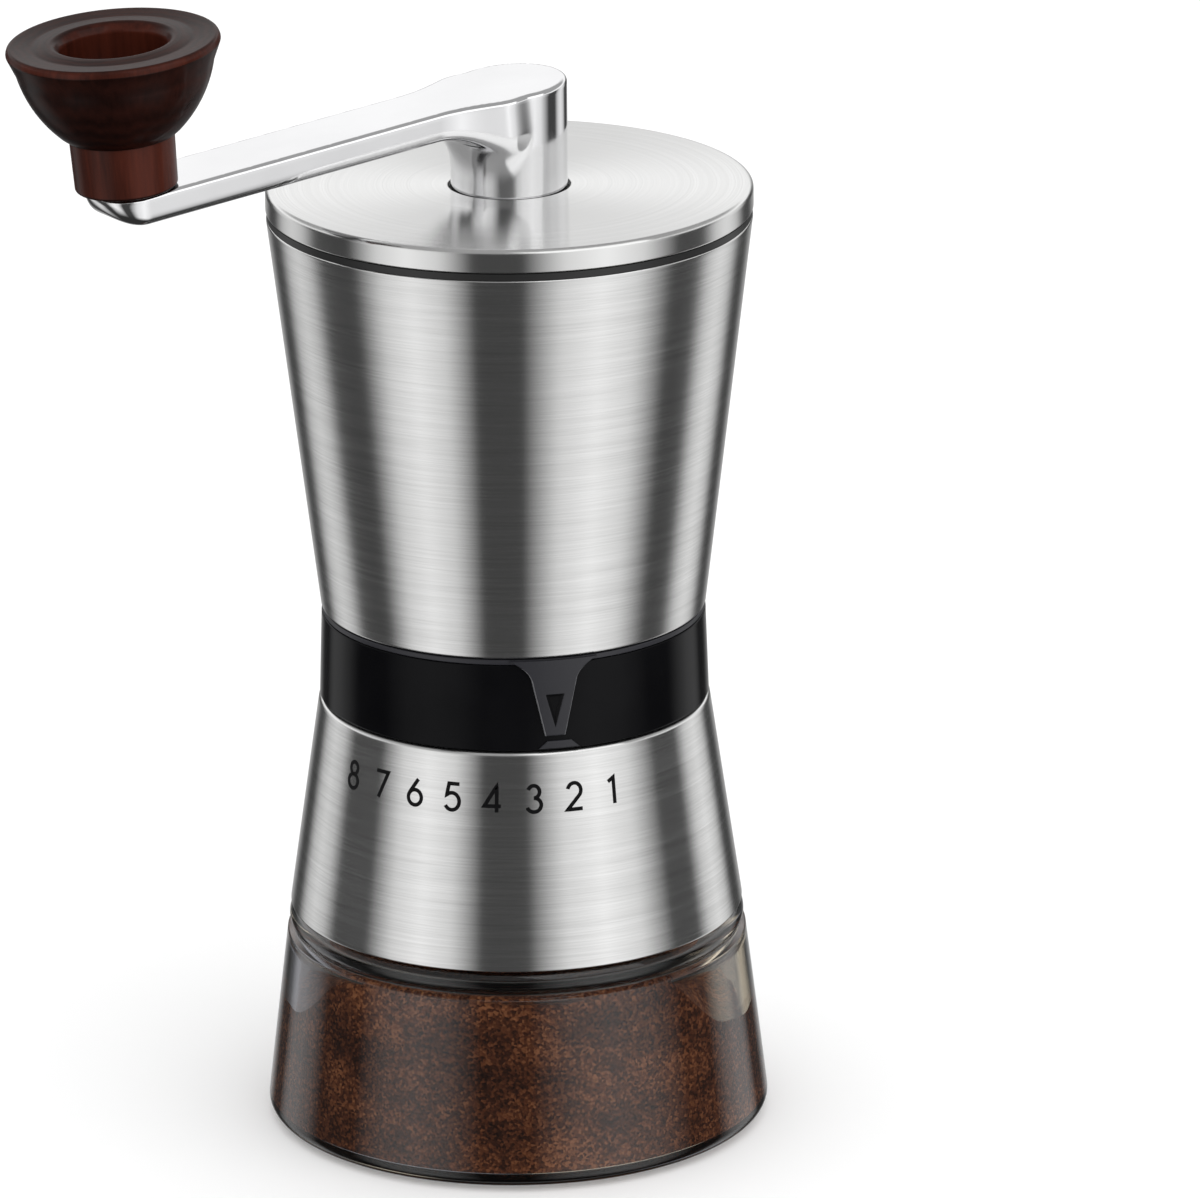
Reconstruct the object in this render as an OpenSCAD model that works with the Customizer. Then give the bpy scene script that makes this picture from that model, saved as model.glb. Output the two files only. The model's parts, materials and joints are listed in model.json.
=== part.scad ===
// Hand crank coffee grinder with a glass catch jar, conical ceramic burrs, a numbered
// skirt, a click ring that sets the grind, a lift-off lid and a side crank.
// Millimetres, +Z up. The grinding axis is the Z axis and the jar foot stands on z = 0.
// The front, where the pointer tab and the numbers are, faces -Y.

/* [Jar] */
// radius of the jar at its foot
jar_foot_r = 40.2; // [34:0.1:48]
// radius of the jar just under its bead
jar_top_r = 36.7; // [30:0.1:44]
// height of the bead that the skirt rests on
jar_shoulder_z = 35.4; // [28:0.1:45]
// radius at which the middle of the bead runs round the jar
bead_at = 34.3; // [30:0.1:40]
// wall of the glass
jar_wall = 2.4; // [2:0.1:4]
// height of the inside of the jar's floor
jar_floor_z = 2.8; // [2.6:0.1:6]
// height of the underside of the glass, above the pad it stands on
jar_base_z = 0.55; // [0.5:0.05:2]
// rounding of the jar's foot
jar_foot_round = 2; // [1:0.1:4]
// outside radius of the glass neck inside the skirt
neck_r = 30.3; // [26:0.1:32]
// top of the glass neck
neck_top_z = 45.95; // [42:0.05:50]

/* [Steel body] */
// sheet thickness of the steel skirt and the steel upper shell
steel_t = 0.8; // [0.6:0.1:1.2]
// radius of the skirt at its bottom edge
skirt_bottom_r = 36.2; // [32:0.1:42]
// radius of the skirt at its top edge
skirt_top_r = 31.1; // [29:0.1:36]
// height of the top edge of the skirt
skirt_top_z = 70.2; // [60:0.1:80]
// radius of the upper shell where it meets the click ring
shell_bottom_r = 30.5; // [28:0.1:36]
// radius of the upper shell at its mouth
shell_top_r = 38.24; // [34:0.01:44]
// height of the bottom edge of the upper shell
shell_bottom_z = 85.5; // [80:0.1:92]
// height of the mouth of the upper shell
shell_top_z = 149.1; // [130:0.1:165]

/* [Grind setting] */
// where the pointer stands, in degrees round from the front
pointer_deg = 11.6; // [-52:0.1:28]
// one numbered step of the ring, in degrees
step_deg = 11.5; // [8:0.5:15]
// lift of the outer burr for one numbered step
step_lift = 0.2; // [0.1:0.01:0.4]
// inside radius of the click ring
ring_bore_r = 27.4; // [26:0.1:29]
// radial gap of the running fits
run_gap = 0.05; // [0.02:0.01:0.1]

/* [Burrs] */
// radius of the inner burr at its top
inner_top_r = 8; // [6:0.1:10]
// radius of the inner burr at its bottom
inner_bottom_r = 17.5; // [14:0.1:19]
// bottom of the inner burr
inner_bottom_z = 62; // [58:0.5:66]
// top of the inner burr
inner_top_z = 82; // [78:0.5:84]
// radius of the drive shaft
shaft_r = 3.5; // [3:0.1:4]

/* [Lid] */
// radius of the flat top of the lid
lid_flat_r = 37.5; // [34:0.1:44]
// height of the flat top of the lid
lid_top_z = 154; // [140:0.1:170]
// rounding of the lid edge
lid_edge_r = 0.8; // [0.5:0.1:2]
// radius of the hole the crank passes through
lid_hole_r = 9.6; // [9.5:0.05:11]

/* [Crank] */
// height of the arm's top face on the grinding axis
arm_top_z = 170.64; // [165:0.01:180]
// direction of the arm, in degrees about +Z from +X
arm_deg = 213.68; // [0:0.01:360]
// slope of the arm, down toward the knob, in degrees
arm_slope = 4.69; // [0:0.01:10]
// from the grinding axis to the knob axis, along the arm
arm_reach = 70.33; // [60:0.01:90]
// width of the arm
arm_w = 13.4; // [11:0.1:16]
// thickness of the arm
arm_t = 4.8; // [4:0.1:6]
// radius of the crank hub above the lid
hub_r = 9.2; // [8.5:0.05:10]
// radius of the crank hub where it turns in the lid
journal_r = 8.9; // [8:0.05:9.1]

/* [Knob] */
// height of the knob above the arm
knob_h = 23.73; // [20:0.01:30]
// largest radius of the knob
knob_r = 16.47; // [14:0.01:20]
// radius of the neck of the knob
knob_neck_r = 7.9; // [7:0.1:9]
// radius of the round recess in the knob's top
recess_r = 8.2; // [7:0.1:10]

/* [Hidden] */

$fn = 96;
e = 0.01;
skirt_bottom_z = jar_shoulder_z + 0.05;
skirt_slope = (skirt_bottom_r - skirt_top_r) / (skirt_top_z - skirt_bottom_z);
shell_slope = (shell_top_r - shell_bottom_r) / (shell_top_z - shell_bottom_z);
burr_slope = (inner_bottom_r - inner_top_r) / (inner_top_z - inner_bottom_z);
outer_burr_bottom_z = inner_bottom_z + 2;
outer_burr_top_z = inner_top_z - 2;
burr_gap = 0.35;
outer_burr_bottom_r = inner_bottom_r - 2 * burr_slope + burr_gap;
outer_burr_top_r = inner_top_r + 2 * burr_slope + 4.6;
outer_burr_r = 20.5;
post_in_r = 23.4;
post_out_r = ring_bore_r - 0.1;
post_deg = [0, 120, 240];
lug_deg = 84;
lug_top_z = 75.5;
screw_r = 0.8;
screw_ring_r = 25.6;
liner_screw_r = 23.6;
hub_bottom_z = 141;
hex_af = 6;
hex_r = hex_af / sqrt(3);

function skirt_out(z) = skirt_bottom_r - (z - skirt_bottom_z) * skirt_slope;
function shell_out(z) = shell_bottom_r + (z - shell_bottom_z) * shell_slope;
function shell_in(z) = shell_out(z) - steel_t;
function liner_out(z) = shell_in(z) - 0.3;
function liner_in(z) = liner_out(z) - 1.4;
function collar_out(z) = 30.7 - (z - 70.45) * 0.034;

// a ring about the Z axis
module ring(ri, ro, z0, z1) {
    rotate_extrude()
        translate([ri, z0])
            square([ro - ri, z1 - z0]);
}

// a part of a ring, from angle a0 to a1
module sector(ri, ro, z0, z1, a0, a1) {
    rotate([0, 0, a0])
        rotate_extrude(angle = a1 - a0)
            translate([ri, z0])
                square([ro - ri, z1 - z0]);
}

// a turned ring from a list of radius and height pairs
module turned(points) {
    rotate_extrude()
        polygon(points);
}

// a six-sided bar of a given width across its flats
module hex_bar(af, z0, z1) {
    translate([0, 0, z0])
        cylinder(h = z1 - z0, r = af / sqrt(3), $fn = 6);
}

// pan head screw pointing up, its head's top face at the origin and facing -Z
module screw_up(length, shank_r, head_r, head_h) {
    difference() {
        union() {
            cylinder(h = head_h, r = head_r);
            cylinder(h = length, r = shank_r);
        }
        translate([-head_r, -0.25, -e])
            cube([2 * head_r, 0.5, head_h * 0.45]);
    }
}

// coil spring about +Z with closed ends
module coil(mean_r, wire_r, height, turns, sides, steps) {
    count = floor(turns * steps);
    rise = height - 2 * wire_r;
    points = [for (i = [0 : count]) for (j = [0 : sides - 1])
        let (a = 360 * i / steps, t = i / count, b = 360 * j / sides,
            z = wire_r + rise * t, r = mean_r + wire_r * cos(b))
        [r * cos(a), r * sin(a), z + wire_r * sin(b)]];
    skin = [for (i = [0 : count - 1]) for (j = [0 : sides - 1])
        let (k = (j + 1) % sides)
        [i * sides + j, i * sides + k, (i + 1) * sides + k, (i + 1) * sides + j]];
    first = [for (j = [0 : sides - 1]) sides - 1 - j];
    last = [for (j = [0 : sides - 1]) count * sides + j];
    polyhedron(points = points, faces = concat(skin, [first], [last]), convexity = 8);
}

// ---- jar ----

// glass jar with a rolled bead under a plain neck
module glass_jar() {
    color([0.86, 0.9, 0.9, 0.35])
        rotate_extrude()
            difference() {
                union() {
                    polygon([[0, jar_base_z], [jar_foot_r - jar_foot_round, jar_base_z],
                        [jar_foot_r, jar_base_z + jar_foot_round],
                        [jar_top_r, 31.2], [jar_top_r - 0.8, 31.9],
                        [neck_r + 3, 33], [neck_r, 34], [neck_r, neck_top_z - 0.6],
                        [neck_r - 0.6, neck_top_z], [0, neck_top_z]]);
                    translate([jar_foot_r - jar_foot_round, jar_base_z + jar_foot_round])
                        circle(r = jar_foot_round);
                    translate([bead_at, jar_shoulder_z - 2.1])
                        circle(r = 2.1);
                    translate([neck_r, jar_shoulder_z - 4])
                        square([bead_at - neck_r, 4]);
                }
                union() {
                    polygon([[-1, jar_floor_z], [jar_foot_r - jar_wall - 3.4, jar_floor_z],
                        [jar_foot_r - jar_wall - 0.4, jar_floor_z + 3],
                        [jar_top_r - jar_wall + 0.3, 29.2], [neck_r - 3.1, 35.4],
                        [neck_r - 3.1, 50], [-1, 50]]);
                    translate([jar_foot_r - jar_wall - 3.4, jar_floor_z + 3])
                        circle(r = 3);
                }
            }
}

// silicone pad under the jar
module foot_pad() {
    color([0.12, 0.12, 0.13])
        rotate_extrude()
            union() {
                square([36.2, 0.5]);
                translate([36.2, 0.25])
                    circle(r = 0.25);
            }
}

// ---- skirt and what is inside it ----

// steel skirt with a lip turned inward at its top
module lower_skirt() {
    color([0.78, 0.78, 0.77])
        difference() {
            turned([[skirt_bottom_r - steel_t, skirt_bottom_z],
                [skirt_bottom_r, skirt_bottom_z],
                [skirt_out(skirt_top_z - 0.5), skirt_top_z - 0.5],
                [skirt_out(skirt_top_z) - 0.35, skirt_top_z],
                [23.7, skirt_top_z], [23.7, skirt_top_z - 0.9],
                [skirt_out(skirt_top_z - 0.9) - steel_t, skirt_top_z - 0.9]]);
            for (a = post_deg)
                rotate([0, 0, a])
                    translate([screw_ring_r, 0, skirt_top_z - 2])
                        cylinder(h = 3, r = 1.1);
        }
}

// plastic socket for the jar, pushed up inside the skirt
module jar_adapter() {
    top = skirt_top_z - 0.95;
    color([0.1, 0.1, 0.1])
        difference() {
            turned([[neck_r + 0.35, skirt_bottom_z + 0.4],
                [skirt_out(skirt_bottom_z + 0.4) - steel_t - 0.05, skirt_bottom_z + 0.4],
                [skirt_out(top) - steel_t - 0.05, top], [23.6, top], [23.6, top - 2],
                [28.2, top - 2], [28.2, 49.5], [neck_r - 2.7, 49.5],
                [neck_r - 2.7, neck_top_z + 1.35], [neck_r + 0.35, neck_top_z + 1.35]]);
            for (a = post_deg)
                rotate([0, 0, a])
                    translate([screw_ring_r, 0, top - 3])
                        cylinder(h = 4, r = 1);
        }
}

// silicone ring that the jar neck pulls against
module jar_gasket() {
    color([0.45, 0.13, 0.1])
        ring(neck_r - 2.6, neck_r + 0.2, neck_top_z + 0.05, neck_top_z + 1.3);
}

// posts, top ring and three-armed spider that carry the shaft
module mill_chassis() {
    foot = skirt_top_z + 0.05;
    deck = shell_bottom_z + 0.95;
    color([0.16, 0.16, 0.17])
        difference() {
            union() {
                ring(post_in_r + 0.2, post_out_r - 0.2, foot, foot + 1);
                for (a = post_deg) {
                    sector(post_in_r, post_out_r, foot, deck + 1, a - 10, a + 10);
                }
                ring(19.5, shell_in(deck) - 0.2, deck, deck + 2);
                cylinder_at(7.6, deck, deck + 9.4);
                for (a = [60, 180, 300])
                    rotate([0, 0, a])
                        translate([6.5, -1.6, deck]) {
                            cube([12.8, 3.2, 4.5]);
                            cube([14, 3.2, 2]);
                        }
            }
            cylinder_at(5 + run_gap, deck - 1, deck + 12);
            for (a = post_deg)
                rotate([0, 0, a]) {
                    translate([screw_ring_r, 0, foot - 1])
                        cylinder(h = 7, r = screw_r + run_gap);
                    translate([liner_screw_r, 0, deck - 1])
                        cylinder(h = 4, r = screw_r + run_gap);
                }
            rotate([0, 0, 240])
                translate([24.2, 0, 78])
                    rotate([0, 90, 0])
                        cylinder(h = 6, r = 1.05);
        }
}

// an upright cylinder on the axis
module cylinder_at(r, z0, z1) {
    translate([0, 0, z0])
        cylinder(h = z1 - z0, r = r);
}

// three screws that clamp the skirt's lip between socket and chassis
module chassis_screws() {
    color([0.7, 0.7, 0.72])
        for (a = post_deg)
            rotate([0, 0, a])
                translate([screw_ring_r, 0, skirt_top_z - 4.2])
                    screw_up(9.6, screw_r, 1.6, 1.2);
}

// ---- upper body ----

// steel upper shell with a lip turned inward at its bottom
module upper_shell() {
    color([0.78, 0.78, 0.77])
        turned([[28.3, shell_bottom_z], [shell_bottom_r - 0.3, shell_bottom_z],
            [shell_out(shell_bottom_z + 0.3), shell_bottom_z + 0.3],
            [shell_top_r, shell_top_z], [shell_top_r - steel_t, shell_top_z],
            [shell_in(shell_bottom_z + 0.9), shell_bottom_z + 0.9],
            [28.3, shell_bottom_z + 0.9]]);
}

// black bean hopper that lines the upper shell, with two ledges for the bridge
module hopper_liner() {
    floor_z = shell_bottom_z + 3;
    color([0.09, 0.09, 0.09])
        difference() {
            union() {
                turned([[19.5, floor_z], [liner_out(floor_z) + 0.1, floor_z],
                    [liner_out(shell_top_z - 0.4), shell_top_z - 0.4],
                    [liner_out(shell_top_z), shell_top_z + 0.05],
                    [shell_top_r - 0.1, shell_top_z + 0.05],
                    [shell_top_r - 0.1, shell_top_z + 1.1],
                    [liner_in(shell_top_z) + 0.3, shell_top_z + 1.1],
                    [liner_in(shell_top_z), shell_top_z],
                    [liner_in(floor_z + 9), floor_z + 9],
                    [19.5, floor_z + 1.5]]);
                for (s = [-1, 1])
                    intersection() {
                        translate([-4, s > 0 ? 28 : -36, 119])
                            cube([8, 8, 6.9]);
                        turned([[0, 119], [liner_out(119) - 0.3, 119],
                            [liner_out(125.9) - 0.3, 125.9], [0, 125.9]]);
                    }
            }
            for (s = [-1, 1])
                translate([0, s * 30.2, 120])
                    cylinder(h = 7, r = screw_r + run_gap);
            for (a = post_deg)
                rotate([0, 0, a])
                    translate([liner_screw_r, 0, floor_z - 1]) {
                        cylinder(h = 8, r = 1);
                        translate([0, 0, 4])
                            cylinder(h = 8, r = 2);
                    }
        }
}

// three screws through the hopper floor into the chassis
module liner_screws() {
    floor_z = shell_bottom_z + 3;
    color([0.7, 0.7, 0.72])
        for (a = post_deg)
            rotate([0, 0, a])
                translate([liner_screw_r, 0, floor_z + 4.25])
                    mirror([0, 0, 1])
                        screw_up(6.6, screw_r, 1.7, 1.2);
}

// steel strap across the hopper that steadies the top of the shaft
module bearing_bridge() {
    color([0.72, 0.72, 0.73])
        difference() {
            union() {
                intersection() {
                    translate([-3, -36, 126])
                        cube([6, 72, 2]);
                    cylinder_at(liner_in(126) - 0.3, 125, 129);
                }
                cylinder_at(7, 126, 130);
            }
            cylinder_at(5 + run_gap, 125, 131);
            for (s = [-1, 1])
                translate([0, s * 30.2, 125])
                    cylinder(h = 4, r = 1);
        }
}

// two screws that hold the bridge on its ledges
module bridge_screws() {
    color([0.7, 0.7, 0.72])
        for (s = [-1, 1])
            translate([0, s * 30.2, 129.25])
                mirror([0, 0, 1])
                    screw_up(7.5, screw_r, 1.6, 1.2);
}

// plastic bush in the bridge
module top_bush() {
    color([0.93, 0.92, 0.88])
        union() {
            ring(shaft_r + run_gap, 5, 125.2, 130.05);
            ring(shaft_r + run_gap, 6.2, 130.05, 131);
        }
}

// plastic bush in the chassis hub
module lower_bush() {
    deck = shell_bottom_z + 0.95;
    color([0.93, 0.92, 0.88])
        union() {
            ring(shaft_r + run_gap, 5, deck - 0.2, deck + 9.5);
            ring(shaft_r + run_gap, 6.2, deck - 0.8, deck - 0.05);
        }
}

// steel ball that clicks into the ring
module detent_ball() {
    color([0.85, 0.85, 0.86])
        rotate([0, 0, 240])
            translate([ring_bore_r - 1.07, 0, 78])
                sphere(r = 1);
}

// small coil behind the ball
module detent_spring() {
    color([0.75, 0.75, 0.77])
        rotate([0, 0, 240])
            translate([24.25, 0, 78])
                rotate([0, 90, 0])
                    coil(0.62, 0.16, 1.02, 2.5, 6, 14);
}

// ---- grind setting ----

// glossy click ring: three lugs inside carry the ramps of the burr carrier
module adjusting_ring() {
    color([0.03, 0.03, 0.035])
        difference() {
            union() {
                turned([[ring_bore_r, skirt_top_z + 0.25],
                    [collar_out(skirt_top_z + 0.25) - 0.25, skirt_top_z + 0.25],
                    [collar_out(skirt_top_z + 0.5), skirt_top_z + 0.5],
                    [collar_out(84.4), 84.4], [29.4, 84.4], [29.4, 85.3],
                    [ring_bore_r, 85.3]]);
                for (a = post_deg)
                    sector(24.2, ring_bore_r + 0.5, lug_top_z - 2.5, lug_top_z,
                        a + lug_deg - 4, a + lug_deg + 4);
                index_pad();
            }
            for (k = [-2 : 11])
                rotate([0, 0, 240 + k * step_deg / 2])
                    translate([ring_bore_r + 0.15, 0, 76.4])
                        cylinder(h = 3.2, r = 0.8);
        }
}

// low pad at the ring's bottom edge, under the tip of the pointer tab
module index_pad() {
    intersection() {
        rotate([0, 0, pointer_deg + 1.3])
            translate([0, -25, 0])
                rotate([90, 0, 0])
                    linear_extrude(height = 8)
                        polygon([[-3.3, 70.75], [3.3, 70.75], [1.9, 72], [-1.9, 72]]);
        turned([[collar_out(70.5) - 0.5, 70.5], [collar_out(70.5) + 0.3, 70.5],
            [collar_out(72.5) + 0.3, 72.5], [collar_out(72.5) - 0.5, 72.5]]);
    }
}

// outline of the pointer tab, seen from outside, its middle at x = 0
module tab_outline() {
    difference() {
        polygon([[-5.4, 85.3], [-5.4, 84.3], [-3.75, 82.7], [-1.56, 72.9], [1.56, 72.9],
            [3.75, 82.7], [5.4, 84.3], [5.4, 85.3]]);
        for (s = [-1, 1])
            translate([s * 5.75, 82.2])
                circle(r = 2.1);
    }
}

// matte ring and tab that point at the numbers, with an engraved arrow
module pointer_tab() {
    color([0.2, 0.2, 0.21])
        union() {
            ring(29.45, 30.42, 84.45, 85.3);
            rotate([0, 0, pointer_deg])
                difference() {
                    intersection() {
                        translate([0, -25, 0])
                            rotate([90, 0, 0])
                                linear_extrude(height = 8)
                                    tab_outline();
                        turned([[collar_out(72) + 0.03, 72], [collar_out(72) + 0.75, 72],
                            [collar_out(86) + 0.75, 86], [collar_out(86) + 0.03, 86]]);
                    }
                    intersection() {
                        translate([0, -25, 0])
                            rotate([90, 0, 0])
                                linear_extrude(height = 8)
                                    polygon([[-1.5, 79.8], [0, 74.2], [1.5, 79.8]]);
                        turned([[collar_out(72) + 0.35, 72], [collar_out(72) + 1.2, 72],
                            [collar_out(86) + 1.2, 86], [collar_out(86) + 0.35, 86]]);
                    }
                }
        }
}

// cup for the outer burr, its three stepped ears riding on the ring's lugs
module burr_carrier() {
    color([0.88, 0.87, 0.83])
        union() {
            turned([[18.8, outer_burr_bottom_z - 1.2], [23, outer_burr_bottom_z - 1.2],
                [23, outer_burr_top_z + 1.4], [outer_burr_r + 0.05, outer_burr_top_z + 1.4],
                [outer_burr_r + 0.05, outer_burr_bottom_z - 0.05],
                [18.8, outer_burr_bottom_z - 0.05]]);
            for (a = post_deg)
                rotate([0, 0, a])
                    stepped_ear();
        }
}

// ear of the carrier: each step up its underside is one numbered step of the ring
module stepped_ear() {
    difference() {
        sector(22.5, 26.9, lug_top_z + 0.2 - 6 * step_lift, 79, 13, 103);
        for (k = [-5 : 1])
            sector(22, 28, lug_top_z - 3, lug_top_z + 0.2 + step_lift * k,
                lug_deg + step_deg * (k - 0.5), 108 + k);
    }
}

// ceramic ring burr with slanted flutes
module outer_burr() {
    color([0.93, 0.92, 0.9])
        difference() {
            turned([[outer_burr_bottom_r, outer_burr_bottom_z],
                [outer_burr_r, outer_burr_bottom_z], [outer_burr_r, outer_burr_top_z],
                [outer_burr_top_r, outer_burr_top_z]]);
            for (k = [0 : 11])
                rotate([0, 0, 30 * k])
                    translate([outer_burr_top_r - 0.2, 0, outer_burr_top_z])
                        rotate([0, -11, 0])
                            rotate([28, 0, 0])
                                cube([2, 2, 22], center = true);
        }
}

// snap ring that keeps the outer burr in its cup
module burr_retainer() {
    color([0.7, 0.7, 0.72])
        sector(outer_burr_top_r + 3.2, outer_burr_r, outer_burr_top_z + 0.05,
            outer_burr_top_z + 1.1, 8, 352);
}

// spring that keeps the carrier down on the lugs
module carrier_spring() {
    bottom = outer_burr_top_z + 1.45;
    color([0.75, 0.75, 0.77])
        translate([0, 0, bottom])
            coil(21.8, 0.5, shell_bottom_z + 0.9 - bottom, 3, 8, 36);
}

// ---- rotor ----

// steel shaft: hex at both ends, a collar above the burr, a threaded tip
module drive_shaft() {
    color([0.72, 0.72, 0.73])
        difference() {
            union() {
                cylinder_at(2.4, 56.4, inner_bottom_z + 0.5);
                hex_bar(hex_af, inner_bottom_z, inner_top_z + 1);
                cylinder_at(5, inner_top_z + 0.05, shell_bottom_z + 0.1);
                cylinder_at(shaft_r, shell_bottom_z, 138);
                hex_bar(hex_af, 137, 158.4);
            }
            ring(3.05, 5.6, shell_bottom_z + 10.5, shell_bottom_z + 11.6);
        }
}

// clip above the lower bush
module shaft_clip() {
    color([0.35, 0.35, 0.37])
        sector(3.1, 6, shell_bottom_z + 10.55, shell_bottom_z + 11.55, 25, 335);
}

// ceramic cone burr with slanted flutes and a six-sided bore
module inner_burr() {
    color([0.93, 0.92, 0.9])
        difference() {
            turned([[0, inner_bottom_z], [inner_bottom_r, inner_bottom_z],
                [inner_top_r, inner_top_z], [0, inner_top_z]]);
            hex_bar(hex_af + 0.1, inner_bottom_z - 1, inner_top_z + 1);
            for (k = [0 : 5])
                rotate([0, 0, 60 * k])
                    translate([inner_top_r + 0.8, 0, inner_top_z])
                        rotate([0, -23, 0])
                            rotate([-30, 0, 0])
                                cube([3.6, 3.6, 34], center = true);
            for (k = [0 : 29])
                rotate([0, 0, 12 * k])
                    translate([inner_bottom_r, 0, inner_bottom_z])
                        rotate([0, -25.4, 0])
                            rotate([-24, 0, 0])
                                rotate([0, 0, 45])
                                    cube([0.9, 0.9, 13], center = true);
        }
}

// washer under the burr
module burr_washer() {
    color([0.7, 0.7, 0.72])
        ring(2.6, 6, inner_bottom_z - 1.15, inner_bottom_z - 0.05);
}

// nut that clamps the burr against the shaft's collar
module burr_nut() {
    color([0.7, 0.7, 0.72])
        difference() {
            hex_bar(8, inner_bottom_z - 4.7, inner_bottom_z - 1.2);
            cylinder_at(2.45, inner_bottom_z - 5, inner_bottom_z);
        }
}

// ---- lid ----

// spun steel lid with a rounded edge
module lid_cap() {
    rim_z = shell_top_z + 1.2;
    color([0.8, 0.8, 0.79])
        rotate_extrude()
            difference() {
                union() {
                    translate([lid_hole_r, rim_z])
                        square([lid_flat_r - lid_hole_r, lid_top_z - rim_z]);
                    translate([lid_flat_r - 1, rim_z])
                        square([1 + lid_edge_r, lid_top_z - lid_edge_r - rim_z]);
                    translate([lid_flat_r, lid_top_z - lid_edge_r])
                        circle(r = lid_edge_r);
                }
                translate([0, rim_z - 1])
                    square([lid_flat_r - 0.1, lid_top_z - rim_z]);
            }
}

// black plug that carries the steel lid and locates it in the hopper's mouth
module lid_insert() {
    top = lid_top_z - 1.05;
    color([0.08, 0.08, 0.08])
        turned([[11.55, 145.1], [16, 145.1], [16, top - 2.2], [31.5, top - 2.2],
            [31.5, 144.6], [34.4, 144.6], [34.4, 146], [33.2, 146], [33.2, 148],
            [34.4, 148], [34.4, shell_top_z + 1.4], [lid_flat_r - 0.2, shell_top_z + 1.4],
            [lid_flat_r - 0.2, top], [11.55, top]]);
}

// silicone ring round the plug
module lid_seal() {
    color([0.3, 0.3, 0.31])
        ring(33.25, 35.05, 146.05, 147.95);
}

// bush in the lid that the crank turns in
module lid_bush() {
    color([0.12, 0.12, 0.12])
        union() {
            ring(journal_r + run_gap, 11.5, 145, lid_top_z - 1.1);
            ring(journal_r + run_gap, 13, 144, 145.05);
        }
}

// ---- crank ----

// puts its children in the arm's own frame: origin on the axis at the top face, +X along
module arm_frame() {
    translate([0, 0, arm_top_z])
        rotate([0, 0, arm_deg])
            rotate([0, arm_slope, 0])
                children();
}

// arm seen from above: round hub end, waist, round knob end
module arm_plan() {
    half = arm_w / 2;
    union() {
        circle(r = hub_r);
        translate([0, -half])
            square([arm_reach, arm_w]);
        translate([arm_reach, 0])
            circle(r = half);
        difference() {
            translate([0, -hub_r])
                square([16, 2 * hub_r]);
            for (s = [-1, 1])
                translate([16, s * (half + 13)])
                    circle(r = 13);
        }
    }
}

// arm seen from the side: swan neck into the hub and an up-turned tip
module arm_side() {
    tip = arm_reach + arm_w / 2;
    difference() {
        union() {
            translate([-hub_r - 1, -arm_t])
                square([tip + hub_r + 1, arm_t]);
            translate([0, -arm_t - 8])
                square([hub_r + 8, 8]);
        }
        translate([hub_r + 8.4, -arm_t - 8])
            circle(r = 8);
        difference() {
            translate([tip - 9, -arm_t - 1])
                square([10, 5]);
            translate([tip - 9, -arm_t + 8])
                circle(r = 8);
            translate([tip - 9, -1.2])
                square([9.1, 5.2]);
        }
    }
}

// polished crank: arm and hub in one piece, hex pocket from below
module crank_arm() {
    color([0.85, 0.85, 0.86])
        difference() {
            union() {
                arm_frame()
                    intersection() {
                        translate([0, 0, -16])
                            linear_extrude(height = 16)
                                arm_plan();
                        translate([0, 20, 0])
                            rotate([90, 0, 0])
                                linear_extrude(height = 40)
                                    arm_side();
                        union() {
                            translate([-12, 0, 0])
                                rotate([90, 0, 90])
                                    linear_extrude(height = 100)
                                        arm_section();
                            translate([-12, -20, -30])
                                cube([29, 40, 30]);
                        }
                    }
                difference() {
                    cylinder_at(hub_r, lid_top_z - 1, arm_top_z + 3);
                    arm_frame()
                        translate([-20, -20, 0])
                            cube([40, 40, 10]);
                }
                cylinder_at(journal_r, hub_bottom_z, lid_top_z);
            }
            hex_bar(12.1, hub_bottom_z - 1, 160.1);
            ring(7.9, 12, hub_bottom_z + 1.6, hub_bottom_z + 2.8);
            arm_frame()
                translate([arm_reach, 0, -10])
                    cylinder(h = 12, r = 2.5 + run_gap);
        }
}

// the arm cut across: flat top with small bevels, sides rounding under
module arm_section() {
    half = arm_w / 2;
    union() {
        polygon([[-half + 0.6, 0], [half - 0.6, 0], [half, -0.6], [half, -1.8],
            [-half, -1.8], [-half, -0.6]]);
        translate([-half + 3, -16])
            square([arm_w - 6, 16]);
        for (s = [-1, 1])
            translate([s * (half - 3), -1.8])
                circle(r = 3);
        translate([-half, -1.8])
            square([arm_w, 1]);
    }
}

// hex steel insert that drives the shaft
module drive_socket() {
    color([0.6, 0.6, 0.62])
        difference() {
            hex_bar(12, hub_bottom_z + 0.2, 160);
            hex_bar(hex_af + 0.15, hub_bottom_z, 158.9);
        }
}

// clip that holds the crank in the lid
module crank_clip() {
    color([0.35, 0.35, 0.37])
        sector(7.95, 11, hub_bottom_z + 1.7, hub_bottom_z + 2.7, 20, 340);
}

// puts its children in the knob's own frame: origin on the arm's top face, +Z up the knob
module knob_frame() {
    arm_frame()
        translate([arm_reach, 0, 0])
            children();
}

// shoulder screw that the knob turns on
module knob_pin() {
    color([0.7, 0.7, 0.72])
        knob_frame()
            difference() {
                union() {
                    cylinder_at(2.5, -4.4, 1);
                    cylinder_at(3.5, 0.02, 14.15);
                    cylinder_at(5.4, 14.15, 16.8);
                }
                hex_bar(3, 15.2, 18);
            }
}

// washer under the head of the shoulder screw
module knob_washer() {
    color([0.7, 0.7, 0.72])
        knob_frame()
            ring(3.6, 6, 13.5, 14.1);
}

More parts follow.
